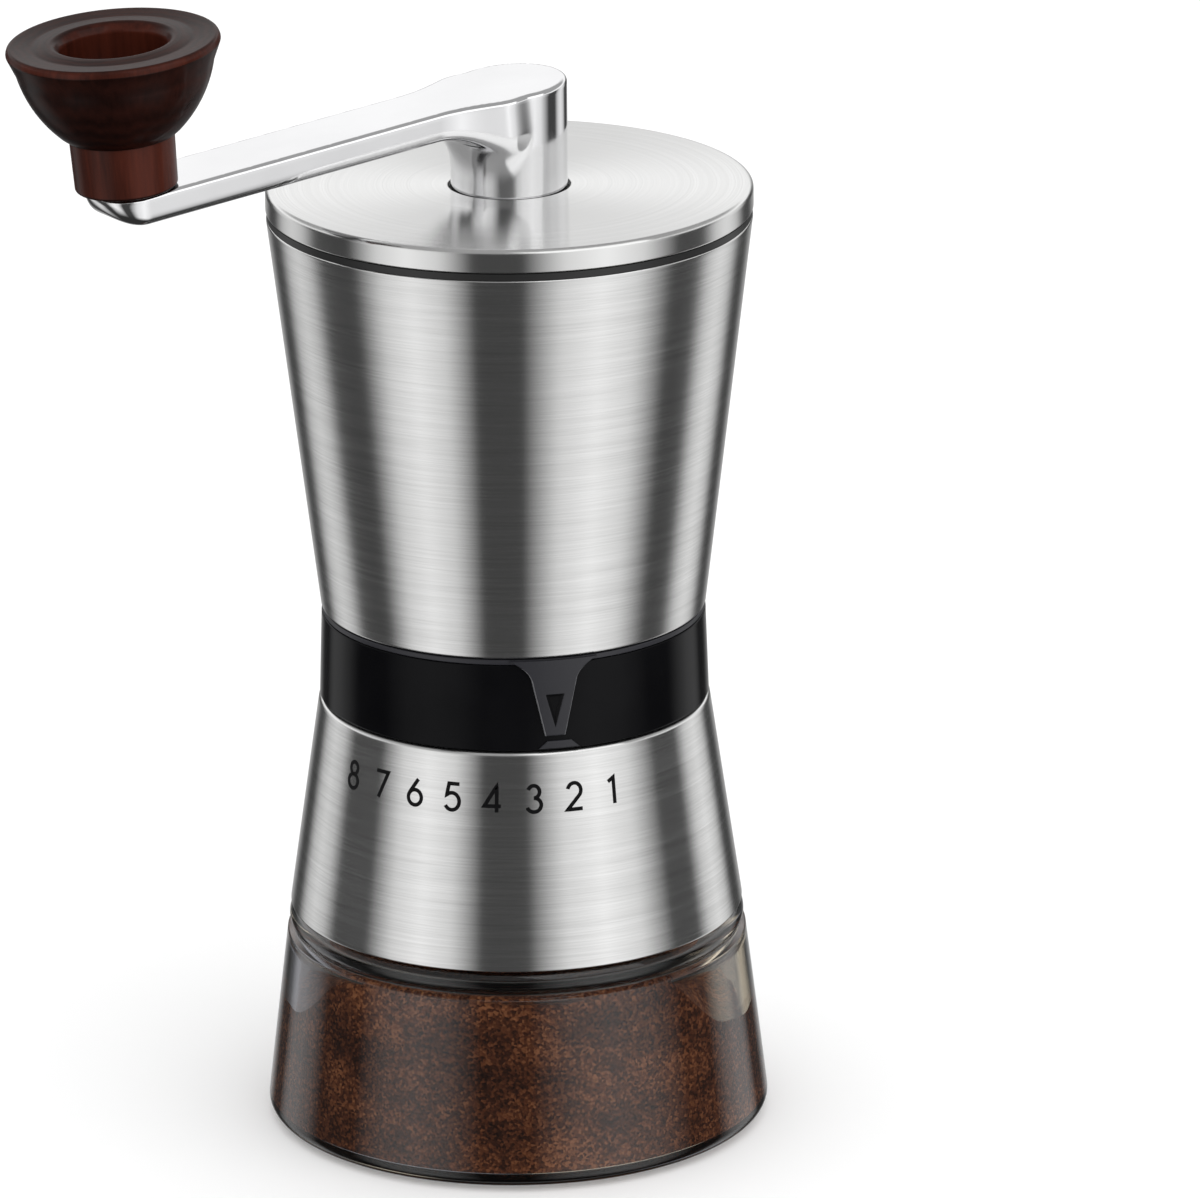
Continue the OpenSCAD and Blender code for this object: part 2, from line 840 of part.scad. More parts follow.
// turned wooden knob: straight neck, round bowl, recess in the top
module knob() {
    rim = 0.9;
    lip = 2;
    color([0.28, 0.1, 0.07])
        knob_frame()
            rotate_extrude()
                difference() {
                    union() {
                        polygon([[5.05, 0.25], [knob_neck_r - 0.4, 0.25],
                            [knob_neck_r, 0.65], [knob_neck_r + 0.2, 8.6], [8.7, 8.7],
                            [15.2, 19.7], [knob_r - 0.1, knob_h - rim - 0.4],
                            [knob_r - rim, knob_h], [recess_r + lip, knob_h],
                            [5.05, knob_h - lip]]);
                        intersection() {
                            translate([-4.54, 23.95])
                                circle(r = 20.19);
                            translate([5.05, 8.7])
                                square([20, 11]);
                        }
                        translate([knob_r - rim, knob_h - rim])
                            circle(r = rim);
                    }
                    difference() {
                        translate([0, 12.8])
                            square([recess_r + lip, 20]);
                        translate([recess_r, 0])
                            square([4, knob_h - lip]);
                        translate([recess_r + lip, knob_h - lip])
                            circle(r = lip);
                    }
                    translate([-5, 0])
                        square([10.05, 13]);
                }
}

// brass sleeve pressed into the knob
module knob_sleeve() {
    color([0.72, 0.6, 0.32])
        knob_frame()
            ring(3.5 + run_gap, 5, 0.3, 13.4);
}

glass_jar();
foot_pad();
lower_skirt();
jar_adapter();
jar_gasket();
mill_chassis();
chassis_screws();
upper_shell();
hopper_liner();
liner_screws();
bearing_bridge();
bridge_screws();
top_bush();
lower_bush();
detent_ball();
detent_spring();
adjusting_ring();
pointer_tab();
burr_carrier();
outer_burr();
burr_retainer();
carrier_spring();
drive_shaft();
shaft_clip();
inner_burr();
burr_washer();
burr_nut();
lid_cap();
lid_insert();
lid_seal();
lid_bush();
crank_arm();
drive_socket();
crank_clip();
knob_pin();
knob_washer();
knob();
knob_sleeve();
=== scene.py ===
import sys
import json
import logging
import math
from dataclasses import dataclass, field
from enum import Enum
from typing import Callable, Sequence

import bmesh
import bpy
import numpy as np
from mathutils import Matrix, Vector


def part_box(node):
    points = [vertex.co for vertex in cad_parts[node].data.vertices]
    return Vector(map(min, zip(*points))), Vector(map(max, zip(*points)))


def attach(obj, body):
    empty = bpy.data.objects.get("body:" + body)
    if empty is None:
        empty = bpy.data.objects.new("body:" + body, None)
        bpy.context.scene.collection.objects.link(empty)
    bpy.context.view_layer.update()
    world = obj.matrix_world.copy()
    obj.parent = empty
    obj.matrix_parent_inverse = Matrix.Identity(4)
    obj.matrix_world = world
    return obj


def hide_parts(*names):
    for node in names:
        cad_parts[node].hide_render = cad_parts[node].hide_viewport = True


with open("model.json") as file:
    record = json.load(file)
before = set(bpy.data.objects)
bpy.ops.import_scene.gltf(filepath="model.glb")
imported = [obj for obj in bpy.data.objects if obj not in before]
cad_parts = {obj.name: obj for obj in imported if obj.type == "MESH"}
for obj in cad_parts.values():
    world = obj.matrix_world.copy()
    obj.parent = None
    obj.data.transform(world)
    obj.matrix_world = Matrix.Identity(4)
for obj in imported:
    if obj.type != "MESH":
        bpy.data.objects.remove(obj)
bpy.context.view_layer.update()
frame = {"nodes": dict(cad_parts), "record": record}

MM = 0.001
LOG = logging.getLogger("grinder")


# ---------------------------------------------------------------- measuring the frame


def reach(node: str, height: float | None = None) -> float:
    """Largest radius of a CAD node about the grinding axis.

    Args:
        node: name of the CAD node.
        height: height in millimetres to look at, or None for the whole node.

    Returns:
        The radius in millimetres.
    """
    co = np.array([v.co for v in frame["nodes"][node].data.vertices]) / MM
    if height is not None:
        co = co[np.abs(co[:, 2] - height) < 0.06]
    return float(np.hypot(co[:, 0], co[:, 1]).max())


def low(node: str) -> float:
    """Lowest height of a CAD node, in millimetres."""
    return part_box(node)[0].z / MM


def high(node: str) -> float:
    """Highest height of a CAD node, in millimetres."""
    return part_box(node)[1].z / MM


def joint(name: str) -> dict:
    """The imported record's entry for a joint, by its name."""
    return next(j for j in frame["record"]["behaviour"]["joints"] if j["name"] == name)


# ---------------------------------------------------------------- mesh work


@dataclass(frozen=True)
class Corner:
    """A corner of a turned outline: its radius and height, and how far it is rounded."""

    r: float
    z: float
    round: float = 0.0


def outline(corners: Sequence[Corner], closed: bool = True, steps: int = 6) -> list[tuple[float, float]]:
    """Round the corners of an outline with arcs and keep a short straight beside each arc.

    Args:
        corners: the corners in order.
        closed: whether the last corner joins the first.
        steps: straight pieces in each arc.

    Returns:
        Points as radius and height.
    """
    out: list[tuple[float, float]] = []
    n = len(corners)
    for i, c in enumerate(corners):
        p = np.array((c.r, c.z))
        if c.round <= 0 or (not closed and i in (0, n - 1)):
            out.append((c.r, c.z))
            continue
        a = np.array((corners[i - 1].r, corners[i - 1].z)) - p
        b = np.array((corners[(i + 1) % n].r, corners[(i + 1) % n].z)) - p
        la, lb = np.hypot(*a), np.hypot(*b)
        a, b = a / la, b / lb
        half = math.acos(float(np.clip(a @ b, -1, 1))) / 2
        back = min(c.round / math.tan(half), la * 0.48, lb * 0.48)
        radius = back * math.tan(half)
        mid = (a + b) / np.hypot(*(a + b))
        centre = p + mid * radius / math.sin(half)
        start, end = p + a * back - centre, p + b * back - centre
        a0 = math.atan2(start[1], start[0])
        turn = (math.atan2(end[1], end[0]) - a0 + math.pi) % (2 * math.pi) - math.pi
        side = min(0.12, la * 0.02)
        out.append(tuple(p + a * (back + side)))
        out += [
            (centre[0] + radius * math.cos(angle), centre[1] + radius * math.sin(angle))
            for angle in (a0 + turn * k / steps for k in range(steps + 1))
        ]
        out.append(tuple(p + b * (back + min(0.12, lb * 0.02))))
    return out


def arc(r: float, z: float, radius: float, first: float, last: float, steps: int = 16) -> list[Corner]:
    """Corners along an arc about (r, z), from one angle to another in degrees."""
    turns = [math.radians(first + (last - first) * k / steps) for k in range(steps + 1)]
    return [Corner(r + radius * math.cos(t), z + radius * math.sin(t)) for t in turns]


def to_object(name: str, mesh: bpy.types.Mesh, sharp: float = 35.0) -> bpy.types.Object:
    """Wrap a mesh as a smooth-shaded object in the scene.

    Args:
        name: the piece's name.
        mesh: its mesh, in metres.
        sharp: edges that turn by more than this many degrees stay crisp.

    Returns:
        The new object.
    """
    mesh.shade_smooth()
    mesh.set_sharp_from_angle(angle=math.radians(sharp))
    piece = bpy.data.objects.new(name, mesh)
    bpy.context.scene.collection.objects.link(piece)
    return piece


def turned(
    name: str, points: Sequence[tuple[float, float]], closed: bool = True, segments: int = 256
) -> bpy.types.Object:
    """Turn an outline about the Z axis.

    Args:
        name: the piece's name.
        points: radius and height in millimetres, anticlockwise when seen with the radius to the right.
        closed: whether the outline is a loop; an open one starts and ends on the axis.
        segments: facets round the axis.

    Returns:
        The new object.
    """
    mesh = bpy.data.meshes.new(name)
    bm = bmesh.new()
    rings: list[list[bmesh.types.BMVert]] = []
    for r, z in points:
        if r < 1e-6:
            rings.append([bm.verts.new((0, 0, z * MM))] * segments)
            continue
        rings.append(
            [
                bm.verts.new((r * MM * math.cos(t), r * MM * math.sin(t), z * MM))
                for t in (2 * math.pi * k / segments for k in range(segments))
            ]
        )
    pairs = list(zip(rings, rings[1:])) + ([(rings[-1], rings[0])] if closed else [])
    for a, b in pairs:
        for k in range(segments):
            m = (k + 1) % segments
            corners = list(dict.fromkeys((a[k], a[m], b[m], b[k])))
            if len(corners) > 2:
                bm.faces.new(corners)
    bmesh.ops.recalc_face_normals(bm, faces=bm.faces)
    bm.to_mesh(mesh)
    bm.free()
    return to_object(name, mesh)


def joined(name: str, parts: Sequence[bpy.types.Object]) -> bpy.types.Object:
    """Join several objects into one piece and give it a name."""
    with bpy.context.temp_override(active_object=parts[0], selected_editable_objects=list(parts)):
        bpy.ops.object.join()
    parts[0].name = name
    return parts[0]


@dataclass(frozen=True)
class Solid:
    """A smooth solid given by a distance-like field, negative inside, in millimetres."""

    field: Callable[[np.ndarray], np.ndarray]
    low: tuple[float, float, float]
    high: tuple[float, float, float]
    step: float

    def slope(self, p: np.ndarray) -> np.ndarray:
        """Gradient of the field at points p, an array of N by 3."""
        h = 0.01
        axes = np.eye(3) * h
        return np.stack([(self.field(p + a) - self.field(p - a)) / (2 * h) for a in axes], axis=1)

    def skin(self) -> tuple[np.ndarray, np.ndarray, np.ndarray]:
        """Wrap the solid in quads.

        Returns:
            Points in millimetres, quads as point numbers, and the outward normal at each point.
        """
        spans = [np.arange(a, b + self.step, self.step) for a, b in zip(self.low, self.high)]
        grid = np.stack(np.meshgrid(*spans, indexing="ij"), axis=-1)
        shape = grid.shape[:3]
        v = self.field(grid.reshape(-1, 3)).reshape(shape)
        inside = v < 0
        cells = tuple(n - 1 for n in shape)
        total, count = np.zeros(cells + (3,)), np.zeros(cells)
        for axis in range(3):
            a = [slice(None)] * 3
            b = [slice(None)] * 3
            a[axis], b[axis] = slice(0, -1), slice(1, None)
            cut = inside[tuple(a)] != inside[tuple(b)]
            va, vb = v[tuple(a)], v[tuple(b)]
            t = np.where(cut, va / np.where(cut, va - vb, 1), 0)
            place = grid[tuple(a)] + (grid[tuple(b)] - grid[tuple(a)]) * t[..., None]
            others = [k for k in range(3) if k != axis]
            for i in (0, 1):
                for j in (0, 1):
                    s = [slice(None)] * 3
                    s[others[0]] = slice(i, cells[others[0]] + i)
                    s[others[1]] = slice(j, cells[others[1]] + j)
                    total += np.where(cut[tuple(s)][..., None], place[tuple(s)], 0)
                    count += cut[tuple(s)]
        used = count > 0
        number = np.full(cells, -1)
        number[used] = np.arange(used.sum())
        points = total[used] / count[used][:, None]
        quads = []
        for axis in range(3):
            o1, o2 = [k for k in range(3) if k != axis]
            a = [slice(1, -1)] * 3
            b = [slice(1, -1)] * 3
            a[axis], b[axis] = slice(0, -1), slice(1, None)
            start, end = inside[tuple(a)], inside[tuple(b)]
            where = np.argwhere(start != end)
            leaving = start[start != end]
            where[:, o1] += 1
            where[:, o2] += 1
            ring = []
            for d1, d2 in ((1, 1), (0, 1), (0, 0), (1, 0)):
                w = where.copy()
                w[:, o1] -= d1
                w[:, o2] -= d2
                ring.append(number[w[:, 0], w[:, 1], w[:, 2]])
            quad = np.stack(ring, axis=1)
            flip = leaving if axis == 1 else ~leaving
            quad[flip] = quad[flip][:, ::-1]
            quads.append(quad)
        for _ in range(4):
            g = self.slope(points)
            points = points - (self.field(points) / np.maximum((g * g).sum(1), 0.05))[:, None] * g
        g = self.slope(points)
        return points, np.concatenate(quads), g / np.linalg.norm(g, axis=1)[:, None]

    def mesh(self, name: str, place: Matrix) -> bpy.types.Object:
        """Build the skin as an object, placed by a matrix that is in metres.

        Args:
            name: the piece's name.
            place: where the solid's own frame lies in the grinder's frame.

        Returns:
            The new object, with its exact normals kept.
        """
        points, quads, normals = self.skin()
        turn = np.array(place.to_3x3())
        world = points * MM @ turn.T + np.array(place.translation)
        mesh = bpy.data.meshes.new(name)
        mesh.from_pydata(world.tolist(), [], quads.tolist())
        mesh.shade_smooth()
        mesh.normals_split_custom_set_from_vertices((normals @ turn.T).tolist())
        piece = bpy.data.objects.new(name, mesh)
        bpy.context.scene.collection.objects.link(piece)
        return piece


def soft_min(a: np.ndarray, b: np.ndarray, k: float) -> np.ndarray:
    """Union of two fields with a fillet of about k millimetres."""
    h = np.maximum(k - np.abs(a - b), 0) / k
    return np.minimum(a, b) - h * h * k / 4


def soft_max(a: np.ndarray, b: np.ndarray, k: float) -> np.ndarray:
    """Overlap of two fields with an edge rounded by about k millimetres."""
    return -soft_min(-a, -b, k)


# ---------------------------------------------------------------- finishes


class Graph:
    """A material's node tree, with short calls to add and join its nodes."""

    def __init__(self, name: str, world: bpy.types.World | None = None) -> None:
        """Start an empty material with this name, or empty the world's own tree.

        Args:
            name: the new material's name, unused for a world.
            world: the world whose tree is filled instead of a material's.
        """
        self.material = None if world else bpy.data.materials.new(name)
        owner = world or self.material
        owner.use_nodes = True
        self.tree = owner.node_tree
        self.tree.nodes.clear()
        self.out = self.tree.nodes.new("ShaderNodeOutputWorld" if world else "ShaderNodeOutputMaterial")

    def add(self, kind: str, settings: dict | None = None, **inputs: object) -> bpy.types.Node:
        """Add a node.

        Args:
            kind: the node's type, without its ShaderNode prefix.
            settings: properties of the node itself.
            inputs: socket values or sockets to join, by socket name with _ for a space.

        Returns:
            The new node.
        """
        node = self.tree.nodes.new("ShaderNode" + kind)
        for key, value in (settings or {}).items():
            setattr(node, key, value)
        for key, value in inputs.items():
            sockets = [s for s in node.inputs if s.enabled and s.name == key.replace("_", " ")]
            if key[0] == "i" and key[1:].isdigit():
                sockets = [node.inputs[int(key[1:])]]
            if isinstance(value, bpy.types.NodeSocket):
                self.tree.links.new(value, sockets[0])
            else:
                sockets[0].default_value = value
        return node

    def maths(self, operation: str, a: object, b: object = 0.0) -> bpy.types.NodeSocket:
        """One step of arithmetic on sockets or numbers."""
        return self.add("Math", {"operation": operation}, i0=a, i1=b).outputs[0]

    def place(self) -> bpy.types.NodeSocket:
        """Position on the piece, in metres in the grinder's frame."""
        return self.add("TexCoord").outputs["Object"]

    def scaled(self, vector: bpy.types.NodeSocket, x: float, y: float, z: float) -> bpy.types.NodeSocket:
        """A position stretched along each axis."""
        return self.add("Mapping", Vector=vector, Scale=(x, y, z)).outputs[0]

    def noise(
        self, vector: object, scale: float, detail: float = 2.0, rough: float = 0.5
    ) -> bpy.types.NodeSocket:
        """Noise between 0 and 1 at a position."""
        return self.add("TexNoise", Vector=vector, Scale=scale, Detail=detail, Roughness=rough).outputs[0]

    def ramp(
        self, value: object, stops: Sequence[tuple[float, Sequence[float] | float]]
    ) -> bpy.types.NodeSocket:
        """Map a number to a colour, or to a grey given as one number.

        Args:
            value: the number that drives the ramp.
            stops: places from 0 to 1 and their colours or greys.

        Returns:
            The ramp's colour socket.
        """
        node = self.add("ValToRGB", i0=value)
        ramp = node.color_ramp
        while len(ramp.elements) < len(stops):
            ramp.elements.new(1.0)
        for element, (at, shade) in zip(ramp.elements, stops):
            element.position = at
            element.color = (shade,) * 3 + (1,) if isinstance(shade, (int, float)) else (*shade, 1)
        return node.outputs[0]

    def between(self, value: object, low_to: float, high_to: float) -> bpy.types.NodeSocket:
        """Map 0..1 to a new range."""
        return self.add("MapRange", Value=value, To_Min=low_to, To_Max=high_to).outputs[0]

    def bump(self, height: object, strength: float, distance: float) -> bpy.types.NodeSocket:
        """Bump from a height, over a distance in metres."""
        return self.add("Bump", Strength=strength, Distance=distance, Height=height).outputs[0]

    def shader(self, node: bpy.types.Node) -> bpy.types.Material:
        """Send a shader to the output and return the material."""
        self.tree.links.new(node.outputs[0], self.out.inputs[0])
        return self.material


class Grain(Enum):
    """Which way a metal was brushed."""

    ROUND_THE_BODY = "round"
    SPUN_ON_TOP = "spun"


@dataclass(frozen=True)
class BrushedSteel:
    """Stainless steel with fine brushing that runs round the grinder's axis."""

    name: str
    grain: Grain
    shade: float = 0.8
    roughness: float = 0.19
    stretch: float = 0.9

    def build(self) -> bpy.types.Material:
        """Make the material.

        Returns:
            The material.
        """
        g = Graph(self.name)
        at = g.place()
        if self.grain is Grain.SPUN_ON_TOP:
            parts = g.add("SeparateXYZ", Vector=at)
            across, along = parts.outputs[0], parts.outputs[1]
            squares = g.maths("ADD", g.maths("MULTIPLY", across, across), g.maths("MULTIPLY", along, along))
            radius = g.maths("SQRT", squares)
            drift_x, drift_y = g.maths("MULTIPLY", across, 0.02), g.maths("MULTIPLY", along, 0.02)
            at = g.add("CombineXYZ", X=drift_x, Y=drift_y, Z=radius).outputs[0]
            fine, broad = g.scaled(at, 1, 1, 4200), g.scaled(at, 1, 1, 900)
        else:
            fine, broad = g.scaled(at, 55, 55, 4200), g.scaled(at, 30, 30, 900)
        hair, band = g.noise(fine, 1.0, 4.0, 0.7), g.noise(broad, 1.0, 2.0, 0.5)
        streak = g.maths("ADD", g.maths("MULTIPLY", hair, 0.65), g.maths("MULTIPLY", band, 0.35))
        dark, light = self.shade * 0.86, min(1.0, self.shade * 1.12)
        colour = g.ramp(streak, [(0.3, (dark, dark, dark * 0.99)), (0.7, (light, light, light * 0.995))])
        smudge = g.noise(g.place(), 38.0, 2.0)
        brushed = g.between(streak, self.roughness - 0.05, self.roughness + 0.05)
        rough = g.maths("ADD", brushed, g.between(smudge, -0.02, 0.02))
        tangent = g.add("Tangent", {"direction_type": "RADIAL", "axis": "Z"})
        return g.shader(
            g.add(
                "BsdfPrincipled",
                Base_Color=colour,
                Metallic=1.0,
                Roughness=rough,
                Anisotropic=self.stretch,
                Anisotropic_Rotation=0.25,
                Tangent=tangent.outputs[0],
                Normal=g.bump(streak, 0.12, 0.00002),
            )
        )


@dataclass(frozen=True)
class BrightMetal:
    """Polished or machined metal with faint handling marks."""

    name: str
    colour: tuple[float, float, float]
    roughness: float
    marks: float = 0.03

    def build(self) -> bpy.types.Material:
        """Make the material.

        Returns:
            The material.
        """
        g = Graph(self.name)
        at = g.place()
        cloud = g.noise(at, 70.0, 3.0)
        fine = g.noise(g.scaled(at, 900, 900, 900), 1.0, 3.0, 0.7)
        handled = g.between(cloud, self.roughness - self.marks / 2, self.roughness + self.marks)
        rough = g.maths("ADD", handled, g.between(fine, 0.0, self.marks))
        tint = [c * 0.93 for c in self.colour]
        colour = g.ramp(cloud, [(0.3, tint), (0.7, self.colour)])
        return g.shader(
            g.add(
                "BsdfPrincipled",
                Base_Color=colour,
                Metallic=1.0,
                Roughness=g.maths("MAXIMUM", rough, 0.02),
                Normal=g.bump(fine, 0.04, 0.00001),
            )
        )


@dataclass(frozen=True)
class MouldedPlastic:
    """Moulded plastic or silicone with a fine surface texture."""

    name: str
    colour: tuple[float, float, float]
    roughness: float
    texture: float = 0.15
    gloss: float = 0.5

    def build(self) -> bpy.types.Material:
        """Make the material.

        Returns:
            The material.
        """
        g = Graph(self.name)
        at = g.place()
        pits = g.noise(g.scaled(at, 3000, 3000, 3000), 1.0, 2.0)
        cloud = g.noise(at, 60.0, 3.0)
        pale = [min(1.0, c * 1.25 + 0.002) for c in self.colour]
        return g.shader(
            g.add(
                "BsdfPrincipled",
                Base_Color=g.ramp(cloud, [(0.3, self.colour), (0.75, pale)]),
                Roughness=g.between(
                    g.noise(at, 260.0, 2.0), self.roughness * 0.88, min(1.0, self.roughness * 1.12)
                ),
                Specular_IOR_Level=self.gloss,
                Normal=g.bump(pits, self.texture, 0.00004),
            )
        )


@dataclass(frozen=True)
class LacqueredWood:
    """Dark hardwood, tinted red-brown, under a clear gloss coat, with shade painted in by which way each face
    points: darker underneath and on top, full colour on the upright walls.
    """

    name: str
    dark: tuple[float, float, float] = (0.012, 0.0028, 0.0018)
    red: tuple[float, float, float] = (0.085, 0.017, 0.0085)

    def build(self) -> bpy.types.Material:
        """Make the material.

        Returns:
            The material.
        """
        g = Graph(self.name)
        at = g.place()
        wander = g.noise(g.scaled(at, 90, 90, 30), 1.0, 3.0)
        rings = g.add(
            "TexWave",
            {"wave_type": "RINGS", "rings_direction": "Z"},
            Vector=g.scaled(at, 150, 150, 14),
            Scale=1.4,
            Distortion=5.0,
            Detail=3.0,
            Detail_Scale=1.5,
        ).outputs[1]
        fibre = g.noise(g.scaled(at, 1600, 1600, 120), 1.0, 4.0, 0.65)
        figure = g.maths("ADD", g.maths("MULTIPLY", fibre, 0.34), g.maths("MULTIPLY", wander, 0.5))
        tone = g.maths("ADD", g.maths("MULTIPLY", rings, 0.16), figure)
        # Painted shade by facing: down-facing faces darkest, up-facing faces darker, upright walls at full
        # colour.
        up = g.add("SeparateXYZ", Vector=g.add("NewGeometry").outputs["Normal"]).outputs[2]
        facing = g.add("MapRange", Value=up, From_Min=-1.0, From_Max=1.0).outputs[0]
        underside, wall = [(0.0, 0.2), (0.35, 0.26)], [(0.47, 0.9), (0.62, 1.0)]
        painted_top_shade = [(0.85, 0.8), (0.97, 0.42)]
        painted_shade = g.ramp(facing, underside + wall + painted_top_shade)
        wood = g.ramp(tone, [(0.25, self.dark), (0.8, self.red)])
        shaded_wood = g.add("Mix", {"data_type": "RGBA", "blend_type": "MULTIPLY"}, i0=1.0, i6=wood, i7=painted_shade)
        return g.shader(
            g.add(
                "BsdfPrincipled",
                Base_Color=shaded_wood.outputs[2],
                Roughness=g.between(fibre, 0.38, 0.5),
                Coat_Weight=0.2,
                Coat_Roughness=0.1,
                Coat_IOR=1.4,
                Specular_IOR_Level=0.06,
                Normal=g.bump(fibre, 0.05, 0.00002),
            )
        )


@dataclass(frozen=True)
class ClearGlass:
    """Clear pressed glass. Light that only casts shadow passes straight through."""

    name: str
    tint: tuple[float, float, float] = (0.97, 0.98, 0.975)

    def build(self) -> bpy.types.Material:
        """Make the material.

        Returns:
            The material.
        """
        g = Graph(self.name)
        ripple = g.noise(g.place(), 45.0, 2.0)
        glass = g.add(
            "BsdfPrincipled",
            Base_Color=(*self.tint, 1),
            Roughness=g.between(g.noise(g.place(), 150.0), 0.0, 0.01),
            IOR=1.5,
            Transmission_Weight=1.0,
            Coat_Weight=0.35,
            Coat_IOR=1.5,
            Coat_Roughness=0.06,
            Normal=g.bump(ripple, 0.05, 0.0004),
        )
        clear = g.add("BsdfTransparent", Color=(*self.tint, 1))
        shadow = g.add("LightPath").outputs["Is Shadow Ray"]
        return g.shader(g.add("MixShader", i0=shadow, i1=glass.outputs[0], i2=clear.outputs[0]))


@dataclass(frozen=True)
class GroundCoffee:
    """Loose ground coffee: dark and red-brown grains with a few pale flecks."""

    name: str

    def build(self) -> bpy.types.Material:
        """Make the material.

        Returns:
            The material.
        """
        g = Graph(self.name)
        at = g.place()
        grains = g.add("TexVoronoi", Vector=at, Scale=2300.0)
        cell = g.add("SeparateColor", Color=grains.outputs["Color"]).outputs[0]
        heap = g.noise(g.scaled(at, 1, 1, 1.7), 75.0, 5.0, 0.62)
        dust = g.noise(at, 2600.0, 2.0)
        broad = g.maths("ADD", g.maths("MULTIPLY", heap, 0.6), g.maths("MULTIPLY", dust, 0.13))
        tone = g.maths("ADD", g.maths("MULTIPLY", cell, 0.27), broad)
        burnt, dark = (0.015, 0.004, 0.002), (0.075, 0.022, 0.009)
        brown, husk = (0.19, 0.06, 0.023), (0.45, 0.17, 0.07)
        colour = g.ramp(tone, [(0.28, burnt), (0.45, dark), (0.58, brown), (0.72, husk)])
        return g.shader(
            g.add(
                "BsdfPrincipled",
                Base_Color=colour,
                Roughness=0.85,
                Specular_IOR_Level=0.25,
                Normal=g.bump(grains.outputs["Distance"], 0.6, 0.0004),
            )
        )


def made(maker: Callable[[], bpy.types.Material]) -> bpy.types.Material:
    """Give a dataclass field whose material is made when the class is."""
    return field(default_factory=maker)


@dataclass(frozen=True)
class Finishes:
    """Every material of the grinder, made once."""

    body_steel: bpy.types.Material = made(lambda: BrushedSteel("body_steel", Grain.ROUND_THE_BODY).build())
    lid_steel: bpy.types.Material = made(lambda: BrushedSteel("lid_steel", Grain.SPUN_ON_TOP).build())
    crank_steel: bpy.types.Material = made(
        lambda: BrightMetal("crank_steel", (0.86, 0.86, 0.87), 0.05).build()
    )
    arm_steel: bpy.types.Material = made(lambda: BrightMetal("arm_steel", (0.9, 0.9, 0.91), 0.07).build())
    plain_steel: bpy.types.Material = made(
        lambda: BrightMetal("plain_steel", (0.6, 0.6, 0.62), 0.25, 0.08).build()
    )
    wire: bpy.types.Material = made(lambda: BrightMetal("wire", (0.42, 0.42, 0.44), 0.3, 0.06).build())
    brass: bpy.types.Material = made(lambda: BrightMetal("brass", (0.72, 0.52, 0.22), 0.22, 0.08).build())
    gloss_black: bpy.types.Material = made(
        lambda: MouldedPlastic("gloss_black", (0.002, 0.002, 0.0025), 0.12, 0.01, 0.09).build()
    )
    tab_grey: bpy.types.Material = made(
        lambda: MouldedPlastic("tab_grey", (0.017, 0.017, 0.021), 0.36, 0.2, 0.4).build()
    )
    tab_painted_edge_highlight: bpy.types.Material = made(
        lambda: MouldedPlastic("tab_painted_edge_highlight", (0.085, 0.085, 0.09), 0.3, 0.1, 0.6).build()
    )
    black_plastic: bpy.types.Material = made(
        lambda: MouldedPlastic("black_plastic", (0.011, 0.011, 0.011), 0.35, 0.15, 0.45).build()
    )
    acetal: bpy.types.Material = made(lambda: MouldedPlastic("acetal", (0.72, 0.7, 0.63), 0.4, 0.1).build())
    silicone: bpy.types.Material = made(
        lambda: MouldedPlastic("silicone", (0.035, 0.035, 0.038), 0.7, 0.3).build()
    )
    red_silicone: bpy.types.Material = made(
        lambda: MouldedPlastic("red_silicone", (0.14, 0.03, 0.02), 0.6, 0.25).build()
    )
    ceramic: bpy.types.Material = made(
        lambda: MouldedPlastic("ceramic", (0.82, 0.8, 0.75), 0.5, 0.3).build()
    )
    # Black print for the numbers, also laid into the tab's engraved arrow as painted shade.
    ink_and_painted_shade: bpy.types.Material = made(
        lambda: MouldedPlastic("ink_and_painted_shade", (0.003, 0.003, 0.0035), 0.55, 0.1, 0.1).build()
    )
    wood: bpy.types.Material = made(lambda: LacqueredWood("wood").build())
    glass: bpy.types.Material = made(lambda: ClearGlass("glass").build())
    coffee: bpy.types.Material = made(lambda: GroundCoffee("coffee").build())


def dress(
    piece: bpy.types.Object, material: bpy.types.Material, body: str, replaces: Sequence[str] = ()
) -> bpy.types.Object:
    """Give a new piece its material, its body and the CAD nodes it stands for.

    Args:
        piece: the new piece, already in place.
        material: its finish.
        body: the CAD body it moves with.
        replaces: CAD nodes that it stands for.

    Returns:
        The same piece.
    """
    piece.data.materials.clear()
    piece.data.materials.append(material)
    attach(piece, body)
    if replaces:
        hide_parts(*replaces)
    LOG.info("built %s on %s: %d faces", piece.name, body, len(piece.data.polygons))
    return piece


def finish_node(node: str, material: bpy.types.Material) -> None:
    """Give a CAD node that stays on show its procedural material."""
    shown = frame["nodes"][node]
    shown.data.materials.clear()
    shown.data.materials.append(material)
    LOG.info("finished node %s with %s", node, material.name)


# ---------------------------------------------------------------- the jar


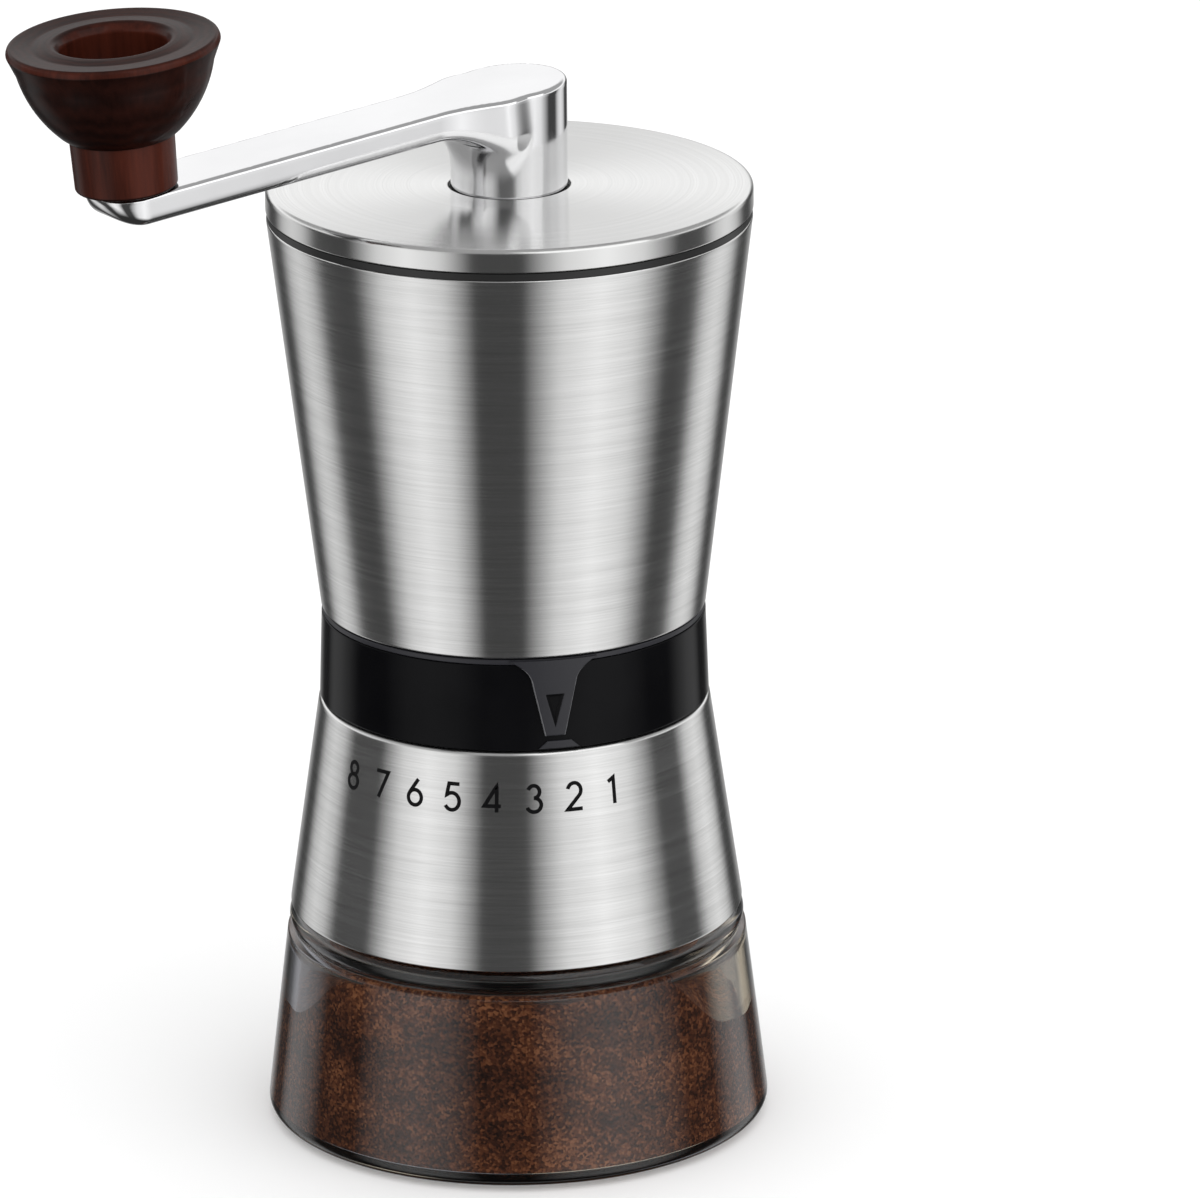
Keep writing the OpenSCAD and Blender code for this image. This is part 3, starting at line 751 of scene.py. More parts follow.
@dataclass
class Jar:
    """Glass catch jar with its bead and neck, the silicone pad and the coffee in it."""

    foot_r: float = field(default_factory=lambda: reach("glass_jar"))
    base_z: float = field(default_factory=lambda: low("glass_jar"))
    top_z: float = field(default_factory=lambda: high("glass_jar"))
    neck_r: float = field(default_factory=lambda: reach("glass_jar", high("glass_jar") - 0.6))
    skirt_z: float = field(default_factory=lambda: low("lower_skirt"))
    bead_r: float = 2.1
    foot_round: float = 2.0
    draw_in: float = 3.5
    wall: float = 2.4
    floor: float = 1.3
    heel: float = 1.2
    fill_z: float = 30.2

    def outside(self, z: float) -> float:
        """Outer radius of the glass at a height, below the bead."""
        foot = self.base_z + self.foot_round
        return self.foot_r - self.draw_in * (z - foot) / (self.skirt_z - 4.2 - foot)

    def inside(self, z: float) -> float:
        """Inner radius of the glass at a height, from its floor to its neck.

        Args:
            z: height in mm.

        Returns:
            The radius in mm.
        """
        low_z, top_z = self.base_z + self.floor + self.heel, self.skirt_z - 6.2
        low_r, top_r = self.foot_r - self.wall - 0.4, self.foot_r - self.draw_in - self.wall + 0.3
        if z < low_z:
            return low_r - self.heel + math.sqrt(max(0.0, self.heel**2 - (low_z - z) ** 2))
        if z < top_z:
            return low_r + (top_r - low_r) * (z - low_z) / (top_z - low_z)
        return top_r + (self.neck_r - 3.1 - top_r) * min(1.0, (z - top_z) / 6.2)

    def build_glass(self, finishes: Finishes) -> None:
        """Make the glass.

        Args:
            finishes: the grinder's materials.
        """
        bead_z = self.skirt_z - 0.05 - self.bead_r
        bead_at = self.skirt_z - 1.15
        under = self.skirt_z - 4.2
        floor = self.base_z + self.floor
        shell = [
            Corner(0, self.base_z),
            *arc(self.foot_r - self.foot_round, self.base_z + self.foot_round, self.foot_round, -90, 5, 14),
            Corner(self.outside(under - 0.4), under - 0.4, 0.4),
            Corner(bead_at + 1.25, under + 0.25, 0.3),
            *arc(bead_at, bead_z, self.bead_r, -38, 88, 18),
            Corner(self.neck_r, self.skirt_z - 0.05, 0.4),
            Corner(self.neck_r, self.top_z, 0.6),
            Corner(self.neck_r - 3.1, self.top_z, 0.6),
            Corner(self.neck_r - 3.1, self.skirt_z, 2.0),
            Corner(self.inside(self.skirt_z - 6.2), self.skirt_z - 6.2, 2.0),
            *arc(self.inside(floor + self.heel) - self.heel, floor + self.heel, self.heel, 5, -90, 14),
            Corner(0, floor),
        ]
        piece = turned("glass_jar_blown", outline(shell, closed=False), closed=False, segments=320)
        dress(piece, finishes.glass, "jar", ["glass_jar"])

    def build_coffee(self, finishes: Finishes) -> None:
        """Make the heap of ground coffee: high in front, fallen away at the two sides.

        Args:
            finishes: the grinder's materials.
        """
        floor = self.base_z + self.floor - 0.05
        rings, rows, segments = 60, 48, 300
        bm = bmesh.new()
        rng = np.random.default_rng(7)
        wave = rng.normal(size=(6, 3)) * np.array([0.09, 0.09, 1.0])

        def z_turn(x: float, y: float) -> float:
            """Angle of a place round the axis."""
            return math.atan2(y, x)

        def top(x: float, y: float) -> float:
            """Height of the heap at a place.

            Args:
                x: place across, in mm.
                y: place front to back, in mm.

            Returns:
                The height in mm.
            """
            share = (x - 23.5) / 9.0 if x > 0 else (-x - 26.0) / 7.5
            share = min(1.0, max(0.0, share + 0.09 * math.sin(z_turn(x, y) * 5)))
            fall = (12.0 if x > 0 else 10.5) * share * share * (3 - 2 * share)
            lumps = sum(0.16 * math.sin(a * x * 6 + b * y * 6 + c * 6) for a, b, c in wave)
            return self.fill_z - fall + lumps + 0.4 * math.cos(y / 9.0)

        def inner(z: float) -> float:
            """Radius at which the heap presses on the glass."""
            return self.inside(z) + 0.05

        columns = []
        for k in range(segments):
            t = 2 * math.pi * k / segments
            c, s = math.cos(t), math.sin(t)
            rim = top(inner(24) * c, inner(24) * s)
            column = []
            for j in range(rows + 1):
                z = floor + (rim - floor) * j / rows
                r = inner(max(z, floor + 0.05))
                column.append(bm.verts.new((r * c * MM, r * s * MM, z * MM)))
            for j in range(1, rings):
                r = inner(rim) * (1 - j / rings)
                z = top(r * c, r * s) * (j / rings) ** 0.15 + rim * (1 - (j / rings) ** 0.15)
                column.append(bm.verts.new((r * c * MM, r * s * MM, (z + 0.25 * rng.random()) * MM)))
            columns.append(column)
        crown = bm.verts.new((0, 0, top(0, 0) * MM))
        root = bm.verts.new((0, 0, floor * MM))
        for k, column in enumerate(columns):
            nxt = columns[(k + 1) % segments]
            for j in range(len(column) - 1):
                bm.faces.new((column[j], nxt[j], nxt[j + 1], column[j + 1]))
            bm.faces.new((column[-1], nxt[-1], crown))
            bm.faces.new((nxt[0], column[0], root))
        bmesh.ops.recalc_face_normals(bm, faces=bm.faces)
        mesh = bpy.data.meshes.new("ground_coffee")
        bm.to_mesh(mesh)
        bm.free()
        dress(to_object("ground_coffee", mesh, 80), finishes.coffee, "jar")

    def build_pad(self, finishes: Finishes) -> None:
        """Make the silicone pad under the jar.

        Args:
            finishes: the grinder's materials.
        """
        r, z0, z1 = reach("foot_pad"), low("foot_pad"), high("foot_pad")
        recess = [Corner(0, z0 + 0.2), Corner(r - 6, z0 + 0.2, 0.1), Corner(r - 6.2, z0, 0.1)]
        rim = recess + [Corner(r, z0, 0.2), Corner(r, z1, 0.2), Corner(0, z1)]
        pad = turned("foot_pad_moulded", outline(rim, closed=False), closed=False)
        dress(pad, finishes.silicone, "jar", ["foot_pad"])

    def build(self, finishes: Finishes) -> None:
        """Make every piece of the jar."""
        self.build_glass(finishes)
        self.build_coffee(finishes)
        self.build_pad(finishes)


# ---------------------------------------------------------------- skirt and numbers


@dataclass(frozen=True)
class Stroke:
    """One pen stroke of a number, as points in a cell one high and centred on x = 0."""

    points: tuple[tuple[float, float], ...]


def curve(
    x: float, y: float, rx: float, ry: float, first: float, last: float, steps: int = 24
) -> tuple[tuple[float, float], ...]:
    """Points along part of an ellipse, its angles in degrees from +x."""
    turns = [math.radians(first + (last - first) * k / steps) for k in range(steps + 1)]
    return tuple((x + rx * math.cos(t), y + ry * math.sin(t)) for t in turns)


NUMERALS: dict[int, tuple[Stroke, ...]] = {
    1: (Stroke(((-0.16, 0.86), (0.07, 1.0), (0.07, 0.0))),),
    2: (Stroke(curve(0, 0.71, 0.26, 0.29, 165, -38) + ((-0.29, 0.0), (0.3, 0.0))),),
    3: (
        Stroke(curve(-0.01, 0.765, 0.22, 0.235, 160, -90)),
        Stroke(curve(-0.01, 0.265, 0.275, 0.265, 90, -160)),
    ),
    4: (Stroke(((0.3, 0.235), (-0.33, 0.235), (0.14, 1.0), (0.14, 0.0))),),
    5: (Stroke(((0.25, 1.0), (-0.16, 1.0), (-0.24, 0.56)) + curve(-0.03, 0.325, 0.29, 0.325, 122, -150)),),
    6: (Stroke(((0.11, 1.0), (-0.235, 0.46))), Stroke(curve(0, 0.29, 0.28, 0.29, 0, 360, 36))),
    7: (Stroke(((-0.29, 1.0), (0.28, 1.0), (-0.12, 0.0))),),
    8: (Stroke(curve(0, 0.77, 0.205, 0.23, 0, 360, 36)), Stroke(curve(0, 0.27, 0.27, 0.27, 0, 360, 36))),
}


@dataclass
class Skirt:
    """Steel skirt with a rolled top edge, its printed numbers, and what is inside it."""

    bottom_z: float = field(default_factory=lambda: low("lower_skirt"))
    top_z: float = field(default_factory=lambda: high("lower_skirt"))
    bottom_r: float = field(default_factory=lambda: reach("lower_skirt", low("lower_skirt")))
    shoulder_r: float = field(default_factory=lambda: reach("lower_skirt", high("lower_skirt") - 0.5))
    sheet: float = 0.8
    numeral_h: float = 4.15
    numeral_z: float = 60.85
    numeral_pen: float = 0.6
    first_deg: float = 28.17
    step_deg: float = 11.5

    def outside(self, z: float) -> float:
        """Outer radius of the skirt at a height."""
        share = (z - self.bottom_z) / (self.top_z - 0.5 - self.bottom_z)
        return self.bottom_r + (self.shoulder_r - self.bottom_r) * share

    def build_shell(self, finishes: Finishes) -> None:
        """Make the steel skirt.

        Args:
            finishes: the grinder's materials.
        """
        inner = self.bottom_r - self.sheet
        corners = [
            Corner(inner, self.bottom_z, 0.2),
            Corner(self.bottom_r, self.bottom_z, 0.3),
            Corner(self.outside(self.top_z), self.top_z, 0.75),
            Corner(23.7, self.top_z, 0.2),
            Corner(23.7, self.top_z - 0.9, 0.2),
            Corner(self.outside(self.top_z - 0.9) - self.sheet, self.top_z - 0.9, 0.4),
        ]
        piece = turned("skirt_spun", outline(corners), segments=320)
        dress(piece, finishes.body_steel, "housing", ["lower_skirt"])

    def on_skirt(self, deg: float, x: float, z: float, lift: float) -> Vector:
        """A place on the skirt, from a numeral's own middle.

        Args:
            deg: how far round from the front the numeral stands, toward +X.
            x: distance to the right of its middle, in millimetres.
            z: height in millimetres.
            lift: distance outside the steel, in millimetres.

        Returns:
            The place in metres.
        """
        r = self.outside(z)
        t = math.radians(deg) + x / r
        return Vector(((r + lift) * math.sin(t), -(r + lift) * math.cos(t), z)) * MM

    def ribbon(self, bm: bmesh.types.BMesh, stroke: Stroke, deg: float) -> None:
        """Add one pen stroke as a thin raised ribbon with square corners.

        Args:
            bm: the mesh to add it to.
            stroke: the stroke.
            deg: where its numeral stands.
        """
        p = np.array(stroke.points) * self.numeral_h
        spans = []
        for a, b in zip(p, p[1:]):
            count = max(2, int(np.hypot(*(b - a)) / 0.25))
            spans.append(a + (b - a) * np.linspace(0, 1, count, endpoint=False)[:, None])
        p = np.concatenate(spans + [p[-1:]])
        ring = bool(np.hypot(*(p[0] - p[-1])) < 1e-6)
        if ring:
            p = p[:-1]
        before = np.roll(p, 1, 0) if ring else np.concatenate([[2 * p[0] - p[1]], p[:-1]])
        after = np.roll(p, -1, 0) if ring else np.concatenate([p[1:], [2 * p[-1] - p[-2]]])
        d0, d1 = p - before, after - p
        d0, d1 = d0 / np.hypot(*d0.T)[:, None], d1 / np.hypot(*d1.T)[:, None]
        side = np.stack([-(d0 + d1)[:, 1], (d0 + d1)[:, 0]], 1)
        side = side / np.hypot(*side.T)[:, None]
        stretch = 1 / np.maximum(0.45, (side * np.stack([-d1[:, 1], d1[:, 0]], 1)).sum(1))
        half = self.numeral_pen / 2
        if not ring:
            p = p.copy()
        rows = []
        for (x, y), (sx, sy), k in zip(p, side, stretch):
            left, right = (x + sx * half * k, y + sy * half * k), (x - sx * half * k, y - sy * half * k)
            section = ((left, 0.004), (left, 0.03), (right, 0.03), (right, 0.004))
            rows.append(
                [bm.verts.new(self.on_skirt(deg, u, self.numeral_z + v, lift)) for (u, v), lift in section]
            )
        count = len(rows)
        for i in range(count if ring else count - 1):
            a, b = rows[i], rows[(i + 1) % count]
            for j in range(4):
                bm.faces.new((a[j], b[j], b[(j + 1) % 4], a[(j + 1) % 4]))
        if not ring:
            bm.faces.new(rows[0])
            bm.faces.new(rows[-1][::-1])

    def build_numerals(self, finishes: Finishes) -> None:
        """Print the numbers 1 to 8 round the skirt, the 8 to the left.

        Args:
            finishes: the grinder's materials.
        """
        bm = bmesh.new()
        for number, strokes in NUMERALS.items():
            for stroke in strokes:
                self.ribbon(bm, stroke, self.first_deg - self.step_deg * (number - 1))
        bmesh.ops.recalc_face_normals(bm, faces=bm.faces)
        mesh = bpy.data.meshes.new("numerals")
        bm.to_mesh(mesh)
        bm.free()
        dress(to_object("numerals", mesh), finishes.ink_and_painted_shade, "housing")

    def build(self, finishes: Finishes) -> None:
        """Make the skirt and finish what it hides.

        Args:
            finishes: the grinder's materials.
        """
        self.build_shell(finishes)
        self.build_numerals(finishes)
        finish_node("jar_adapter", finishes.black_plastic)
        finish_node("jar_gasket", finishes.red_silicone)
        finish_node("mill_chassis", finishes.black_plastic)
        finish_node("chassis_screws", finishes.plain_steel)


# ---------------------------------------------------------------- grind setting


@dataclass(frozen=True)
class Plate:
    """A thin plate that lies on the click ring: where it stands, its outline, thickness and engraving."""

    deg: float
    low: float
    high: float
    half: Callable[[float], float]
    thick: float
    soft: float
    cut: Callable[[float, float], float]
    open_top: float


@dataclass
class ClickRing:
    """Glossy click ring, and the matte pointer ring and tab fixed to it."""

    bottom_z: float = field(default_factory=lambda: low("adjusting_ring"))
    top_z: float = field(default_factory=lambda: high("adjusting_ring"))
    outer_r: float = field(default_factory=lambda: reach("adjusting_ring"))
    bore_r: float = 27.4
    taper: float = 0.034
    lug_degs: tuple[int, ...] = (84, 204, 324)
    lug_reach_deg: int = 4
    lug_inner_r: float = 24.2
    lug_outer_r: float = 27.6
    lug_low_z: float = 73.0
    lug_high_z: float = 75.5
    tab_deg: float = 11.6
    tab_top: float = 5.3
    tab_side_z: float = 82.7
    tab_side: float = 3.75
    tab_tip_z: float = 72.9
    tab_tip: float = 1.6
    tab_thick: float = 0.72

    def outside(self, z: float) -> float:
        """Outer radius of the ring at a height."""
        return self.outer_r - (z - self.bottom_z - 0.25) * self.taper

    def build_ring(self, finishes: Finishes) -> None:
        """Make the glossy ring with its three lugs.

        Args:
            finishes: the grinder's materials.
        """
        step = self.top_z - 0.9
        corners = [
            Corner(self.bore_r, self.bottom_z, 0.2),
            Corner(self.outside(self.bottom_z), self.bottom_z, 0.35),
            Corner(self.outside(step), step, 0.15),
            Corner(29.4, step, 0.1),
            Corner(29.4, self.top_z, 0.15),
            Corner(self.bore_r, self.top_z, 0.2),
        ]
        parts = [turned("click_ring", outline(corners), segments=320)]
        inner, outer, foot, head = self.lug_inner_r, self.lug_outer_r, self.lug_low_z, self.lug_high_z
        half = self.lug_reach_deg
        for a in self.lug_degs:
            bm = bmesh.new()
            block = [
                bm.verts.new((r * math.cos(turn) * MM, r * math.sin(turn) * MM, z * MM))
                for turn in (math.radians(a + d) for d in (-half, -half // 2, 0, half // 2, half))
                for r, z in ((inner, foot), (outer, foot), (outer, head), (inner, head))
            ]
            for i in range(4):
                for j in range(4):
                    k = (j + 1) % 4
                    here, there = block[4 * i : 4 * i + 4], block[4 * i + 4 : 4 * i + 8]
                    bm.faces.new((here[j], here[k], there[k], there[j]))
            bm.faces.new(block[:4])
            bm.faces.new(block[16:])
            bmesh.ops.recalc_face_normals(bm, faces=bm.faces)
            sharp = [e for e in bm.edges if e.calc_face_angle(0) > 0.8]
            bmesh.ops.bevel(bm, geom=sharp, offset=0.0002, segments=2, affect="EDGES")
            mesh = bpy.data.meshes.new("lug")
            bm.to_mesh(mesh)
            bm.free()
            parts.append(to_object("lug", mesh))
        bm = bmesh.new()
        foot, head = self.bottom_z + 0.3, self.bottom_z + 1.55
        self.plate(bm, Plate(self.tab_deg + 1.3, foot, head, self.pad_half, 0.3, 0.2, lambda x, z: 0.0, 0.0))
        mesh = bpy.data.meshes.new("pad")
        bm.to_mesh(mesh)
        bm.free()
        pad = to_object("pad", mesh, 60)
        ring_faces = sum(len(part.data.polygons) for part in parts)
        whole = joined("click_ring_moulded", parts + [pad])
        ring = dress(whole, finishes.gloss_black, "adjuster", ["adjusting_ring"])
        ring.data.materials.append(finishes.tab_grey)
        for face in list(ring.data.polygons)[ring_faces:]:
            face.material_index = 1

    def pad_half(self, z: float) -> float:
        """Half the low pad's width at a height."""
        return 3.3 - 1.4 * (z - self.bottom_z - 0.3) / 1.25

    def tab_half(self, z: float) -> float:
        """Half the tab's width at a height: straight sides that flare into the ring."""
        share = (z - self.tab_tip_z) / (self.tab_side_z - self.tab_tip_z)
        width = self.tab_tip + (self.tab_side - self.tab_tip) * share
        flare = max(0.0, z - self.tab_side_z + 0.8) / 2.6
        return width + (self.tab_top - self.tab_side) * flare**2.2

    def arrow(self, x: float, z: float) -> float:
        """Depth of the engraved arrow at a place on the tab, in millimetres."""
        top, tip, half = 79.8, 74.2, 1.5
        slot = min(half * (z - tip) / (top - tip) - abs(x), top - z)
        return max(0.0, min(0.42, slot * 0.8))

    def plate(self, bm: bmesh.types.BMesh, plate: Plate) -> None:
        """Bend a thin plate with soft edges round the ring.

        Args:
            bm: the mesh to add it to.
            plate: its outline and relief.
        """
        rows, columns = 150, 90
        front, back = [], []
        for i in range(rows + 1):
            z = plate.low + (plate.high - plate.low) * i / rows
            half = plate.half(z)
            line, rear = [], []
            for j in range(columns + 1):
                s = -1 + 2 * j / columns
                x = half * math.copysign(1 - (1 - abs(s)) ** 1.5, s)
                edge = min(half - abs(x), z - plate.low, plate.open_top + plate.high - z)
                drop = plate.soft - min(edge, plate.soft)
                fall = plate.soft - math.sqrt(max(0.0, plate.soft**2 - drop**2))
                lift = max(0.05, plate.thick - fall - plate.cut(x, z))
                r = self.outside(z)
                t = math.radians(plate.deg) + x / r
                face_r, back_r = MM * (r + lift), MM * (r + 0.03)
                line.append(bm.verts.new((face_r * math.sin(t), -face_r * math.cos(t), z * MM)))
                rear.append(bm.verts.new((back_r * math.sin(t), -back_r * math.cos(t), z * MM)))
            front.append(line)
            back.append(rear)
        for i in range(rows):
            for j in range(columns):
                bm.faces.new((front[i][j], front[i][j + 1], front[i + 1][j + 1], front[i + 1][j]))
                bm.faces.new((back[i][j], back[i + 1][j], back[i + 1][j + 1], back[i][j + 1]))
            bm.faces.new((front[i][0], front[i + 1][0], back[i + 1][0], back[i][0]))
            bm.faces.new((front[i][-1], back[i][-1], back[i + 1][-1], front[i + 1][-1]))
        for j in range(columns):
            bm.faces.new((front[0][j], back[0][j], back[0][j + 1], front[0][j + 1]))
            bm.faces.new((front[-1][j], front[-1][j + 1], back[-1][j + 1], back[-1][j]))
        bmesh.ops.recalc_face_normals(bm, faces=bm.faces)

    def shade_of(self, at: Vector) -> int:
        """Which finish a face of the tab has: 0 plain, 1 a painted highlight along the edges, 2 painted shade
        inside the engraved arrow.

        Args:
            at: a place on the tab, in mm.

        Returns:
            The number of the face's material slot.
        """
        r = self.outside(at.z)
        x = r * (math.atan2(at.x, -at.y) - math.radians(self.tab_deg))
        if at.z > self.top_z - 1.2 or math.hypot(at.x, at.y) < r + 0.06:
            return 0
        # Faces inside the engraved arrow take the black material: painted shade in the recess.
        if self.arrow(x, at.z) > 0.03:
            return 2
        # Faces within 0.2 mm of the tab's side edges take the lighter material: a painted highlight.
        return 1 if self.tab_half(at.z) - abs(x) < 0.2 else 0

    def build_tab(self, finishes: Finishes) -> None:
        """Make the tab with its engraved arrow, and the ring it hangs from.

        Args:
            finishes: the grinder's materials.
        """
        bm = bmesh.new()
        tip, top = self.tab_tip_z, self.top_z - 0.05
        self.plate(bm, Plate(self.tab_deg, tip, top, self.tab_half, self.tab_thick, 0.34, self.arrow, 1.0))
        mesh = bpy.data.meshes.new("tab")
        bm.to_mesh(mesh)
        bm.free()
        tab = to_object("tab", mesh, 60)
        z0 = self.top_z - 0.85
        lower = [Corner(29.45, z0, 0.1), Corner(30.42, z0, 0.2)]
        corners = lower + [Corner(30.42, self.top_z, 0.2), Corner(29.45, self.top_z, 0.1)]
        ring = turned("tab_ring", outline(corners), segments=320)
        whole = joined("pointer_tab_moulded", [tab, ring])
        piece = dress(whole, finishes.tab_grey, "adjuster", ["pointer_tab"])
        # Slot 1 is a painted highlight along the tab's edges, slot 2 painted shade inside the engraved arrow.
        for material in (finishes.tab_painted_edge_highlight, finishes.ink_and_painted_shade):
            piece.data.materials.append(material)
        for face in piece.data.polygons:
            face.material_index = self.shade_of(face.center / MM)

    def build(self, finishes: Finishes) -> None:
        """Make the ring and tab and finish the burr carrier behind them.

        Args:
            finishes: the grinder's materials.
        """
        self.build_ring(finishes)
        self.build_tab(finishes)
        for node, material in {
            "burr_carrier": finishes.acetal,
            "outer_burr": finishes.ceramic,
            "burr_retainer": finishes.wire,
            "carrier_spring": finishes.wire,
            "detent_ball": finishes.crank_steel,
            "detent_spring": finishes.wire,
        }.items():
            finish_node(node, material)


# ---------------------------------------------------------------- upper body


@dataclass
class UpperBody:
    """Steel shell, the black hopper inside it, and the shaft and burr it carries."""

    bottom_z: float = field(default_factory=lambda: low("upper_shell"))
    top_z: float = field(default_factory=lambda: high("upper_shell"))
    bottom_r: float = field(default_factory=lambda: reach("upper_shell", low("upper_shell") + 0.3))
    top_r: float = field(default_factory=lambda: reach("upper_shell"))
    sheet: float = 0.8

    def build(self, finishes: Finishes) -> None:
        """Make the shell and finish the nodes inside it.

        Args:
            finishes: the grinder's materials.
        """
        corners = [
            Corner(28.3, self.bottom_z, 0.2),
            Corner(self.bottom_r, self.bottom_z, 0.35),
            Corner(self.top_r, self.top_z, 0.25),
            Corner(self.top_r - self.sheet, self.top_z, 0.2),
            Corner(self.bottom_r + 0.1 - self.sheet, self.bottom_z + 0.9, 0.4),
            Corner(28.3, self.bottom_z + 0.9, 0.2),
        ]
        shell = turned("upper_shell_spun", outline(corners), segments=320)
        dress(shell, finishes.body_steel, "housing", ["upper_shell"])
        for node, material in {
            "hopper_liner": finishes.black_plastic,
            "liner_screws": finishes.plain_steel,
            "bearing_bridge": finishes.crank_steel,
            "bridge_screws": finishes.plain_steel,
            "top_bush": finishes.acetal,
            "lower_bush": finishes.acetal,
            "drive_shaft": finishes.plain_steel,
            "shaft_clip": finishes.wire,
            "inner_burr": finishes.ceramic,
            "burr_washer": finishes.plain_steel,
            "burr_nut": finishes.plain_steel,
        }.items():
            finish_node(node, material)


# ---------------------------------------------------------------- lid


@dataclass
class Lid:
    """Spun steel lid with a rounded rim, and the plug, seal and bush under it."""

    rim_z: float = field(default_factory=lambda: low("lid_cap"))
    top_z: float = field(default_factory=lambda: high("lid_cap"))
    rim_r: float = field(default_factory=lambda: reach("lid_cap"))
    hole_r: float = 9.6
    sheet: float = 1.0

    def build(self, finishes: Finishes) -> None:
        """Make the lid and finish the nodes under it.

        Args:
            finishes: the grinder's materials.
        """
        corners = [
            Corner(self.hole_r, self.top_z - self.sheet, 0.1),
            Corner(self.rim_r - 0.9, self.top_z - self.sheet, 0.3),
            Corner(self.rim_r - 0.9, self.rim_z, 0.2),
            Corner(self.rim_r, self.rim_z, 0.3),
            Corner(self.rim_r, self.top_z, 0.8),
            Corner(self.hole_r, self.top_z, 0.25),
        ]
        cap = turned("lid_spun", outline(corners, steps=8), segments=320)
        dress(cap, finishes.lid_steel, "lid", ["lid_cap"])
        finish_node("lid_insert", finishes.black_plastic)
        finish_node("lid_bush", finishes.black_plastic)
        finish_node("lid_seal", finishes.silicone)


# ---------------------------------------------------------------- crank and knob


@dataclass
class Crank:
    """One-piece polished arm and hub, with the drive parts fixed in it."""

    slope: float = field(default_factory=lambda: math.acos(Vector(joint("knob_spin")["axis"]).normalized().z))
    knob_at: Vector = field(default_factory=lambda: Vector(joint("knob_spin")["pos_m"]) / MM)
    lid_z: float = field(default_factory=lambda: high("lid_cap"))
    hub_bottom: float = field(default_factory=lambda: low("crank_arm"))
    half_width: float = 6.7
    thick: float = 4.8
    hub_r: float = 9.2
    journal_r: float = 8.9
    tip_r: float = 7.0

    @property
    def reach_mm(self) -> float:
        """Distance from the grinding axis to the knob's, along the arm."""
        return math.hypot(self.knob_at.x, self.knob_at.y) / math.cos(self.slope)

    @property
    def heading(self) -> float:
        """Direction of the arm about +Z, from +X."""
        return math.atan2(self.knob_at.y, self.knob_at.x)

    @property
    def top_z(self) -> float:
        """Height of the arm's top face on the grinding axis."""
        return self.knob_at.z + self.reach_mm * math.sin(self.slope)

    def arm_field(self, p: np.ndarray) -> np.ndarray:
        """The crank as a field, in a frame at the hub's top with +X level along the arm.

        Args:
            p: points, one to a row, in mm.

        Returns:
            The distance to the surface at each point, less than zero inside.
        """
        c, s = math.cos(self.slope), math.sin(self.slope)
        along, up = p[:, 0] * c - p[:, 2] * s, p[:, 0] * s + p[:, 2] * c
        beyond = along - np.clip(along, 0, self.reach_mm)
        plan = np.hypot(beyond, p[:, 1]) - self.half_width
        run = along - self.reach_mm
        curl = np.hypot(run, up + self.thick - self.tip_r) - self.tip_r
        bar = soft_max(plan, np.where(run > 0, curl, -(up + self.thick)), 2.2)
        post = np.hypot(p[:, 0], p[:, 1]) - self.hub_r
        blend = np.clip((along + 1) / 8, 0, 1)
        body = soft_min(bar, post, 0.3 + 8.7 * blend * blend * (3 - 2 * blend))
        floor = (self.lid_z - 0.9 - self.top_z) - p[:, 2]
        body = soft_max(body, floor, 0.3)
        return soft_max(body, up, 0.9)

    def build(self, finishes: Finishes) -> None:
        """Make the arm and the journal below it, and finish the parts fixed to them.

        Args:
            finishes: the grinder's materials.
        """
        depth = self.top_z - self.lid_z + 1.6
        solid = Solid(self.arm_field, (-11, -11, -depth), (self.reach_mm + 9, 11, 2.0), 0.4)
        place = Matrix.Translation(Vector((0, 0, self.top_z * MM))) @ Matrix.Rotation(self.heading, 4, "Z")
        arm = solid.mesh("arm", place)
        groove = self.hub_bottom + 1.6
        corners = [
            Corner(7.02, self.hub_bottom, 0.2),
            Corner(self.journal_r, self.hub_bottom, 0.4),
            Corner(self.journal_r, groove, 0.1),
            Corner(7.9, groove, 0.1),
            Corner(7.9, groove + 1.2, 0.1),
            Corner(self.journal_r, groove + 1.2, 0.1),
            Corner(self.journal_r, self.lid_z - 0.5, 0.1),
            Corner(7.02, self.lid_z - 0.5, 0.1),
        ]
        journal = turned("journal", outline(corners), segments=160)
        crank = joined("crank_forged", [arm, journal])
        dress(crank, finishes.arm_steel, "crank", ["crank_arm"])
        finish_node("drive_socket", finishes.plain_steel)
        finish_node("crank_clip", finishes.wire)
        finish_node("knob_pin", finishes.plain_steel)
        finish_node("knob_washer", finishes.plain_steel)


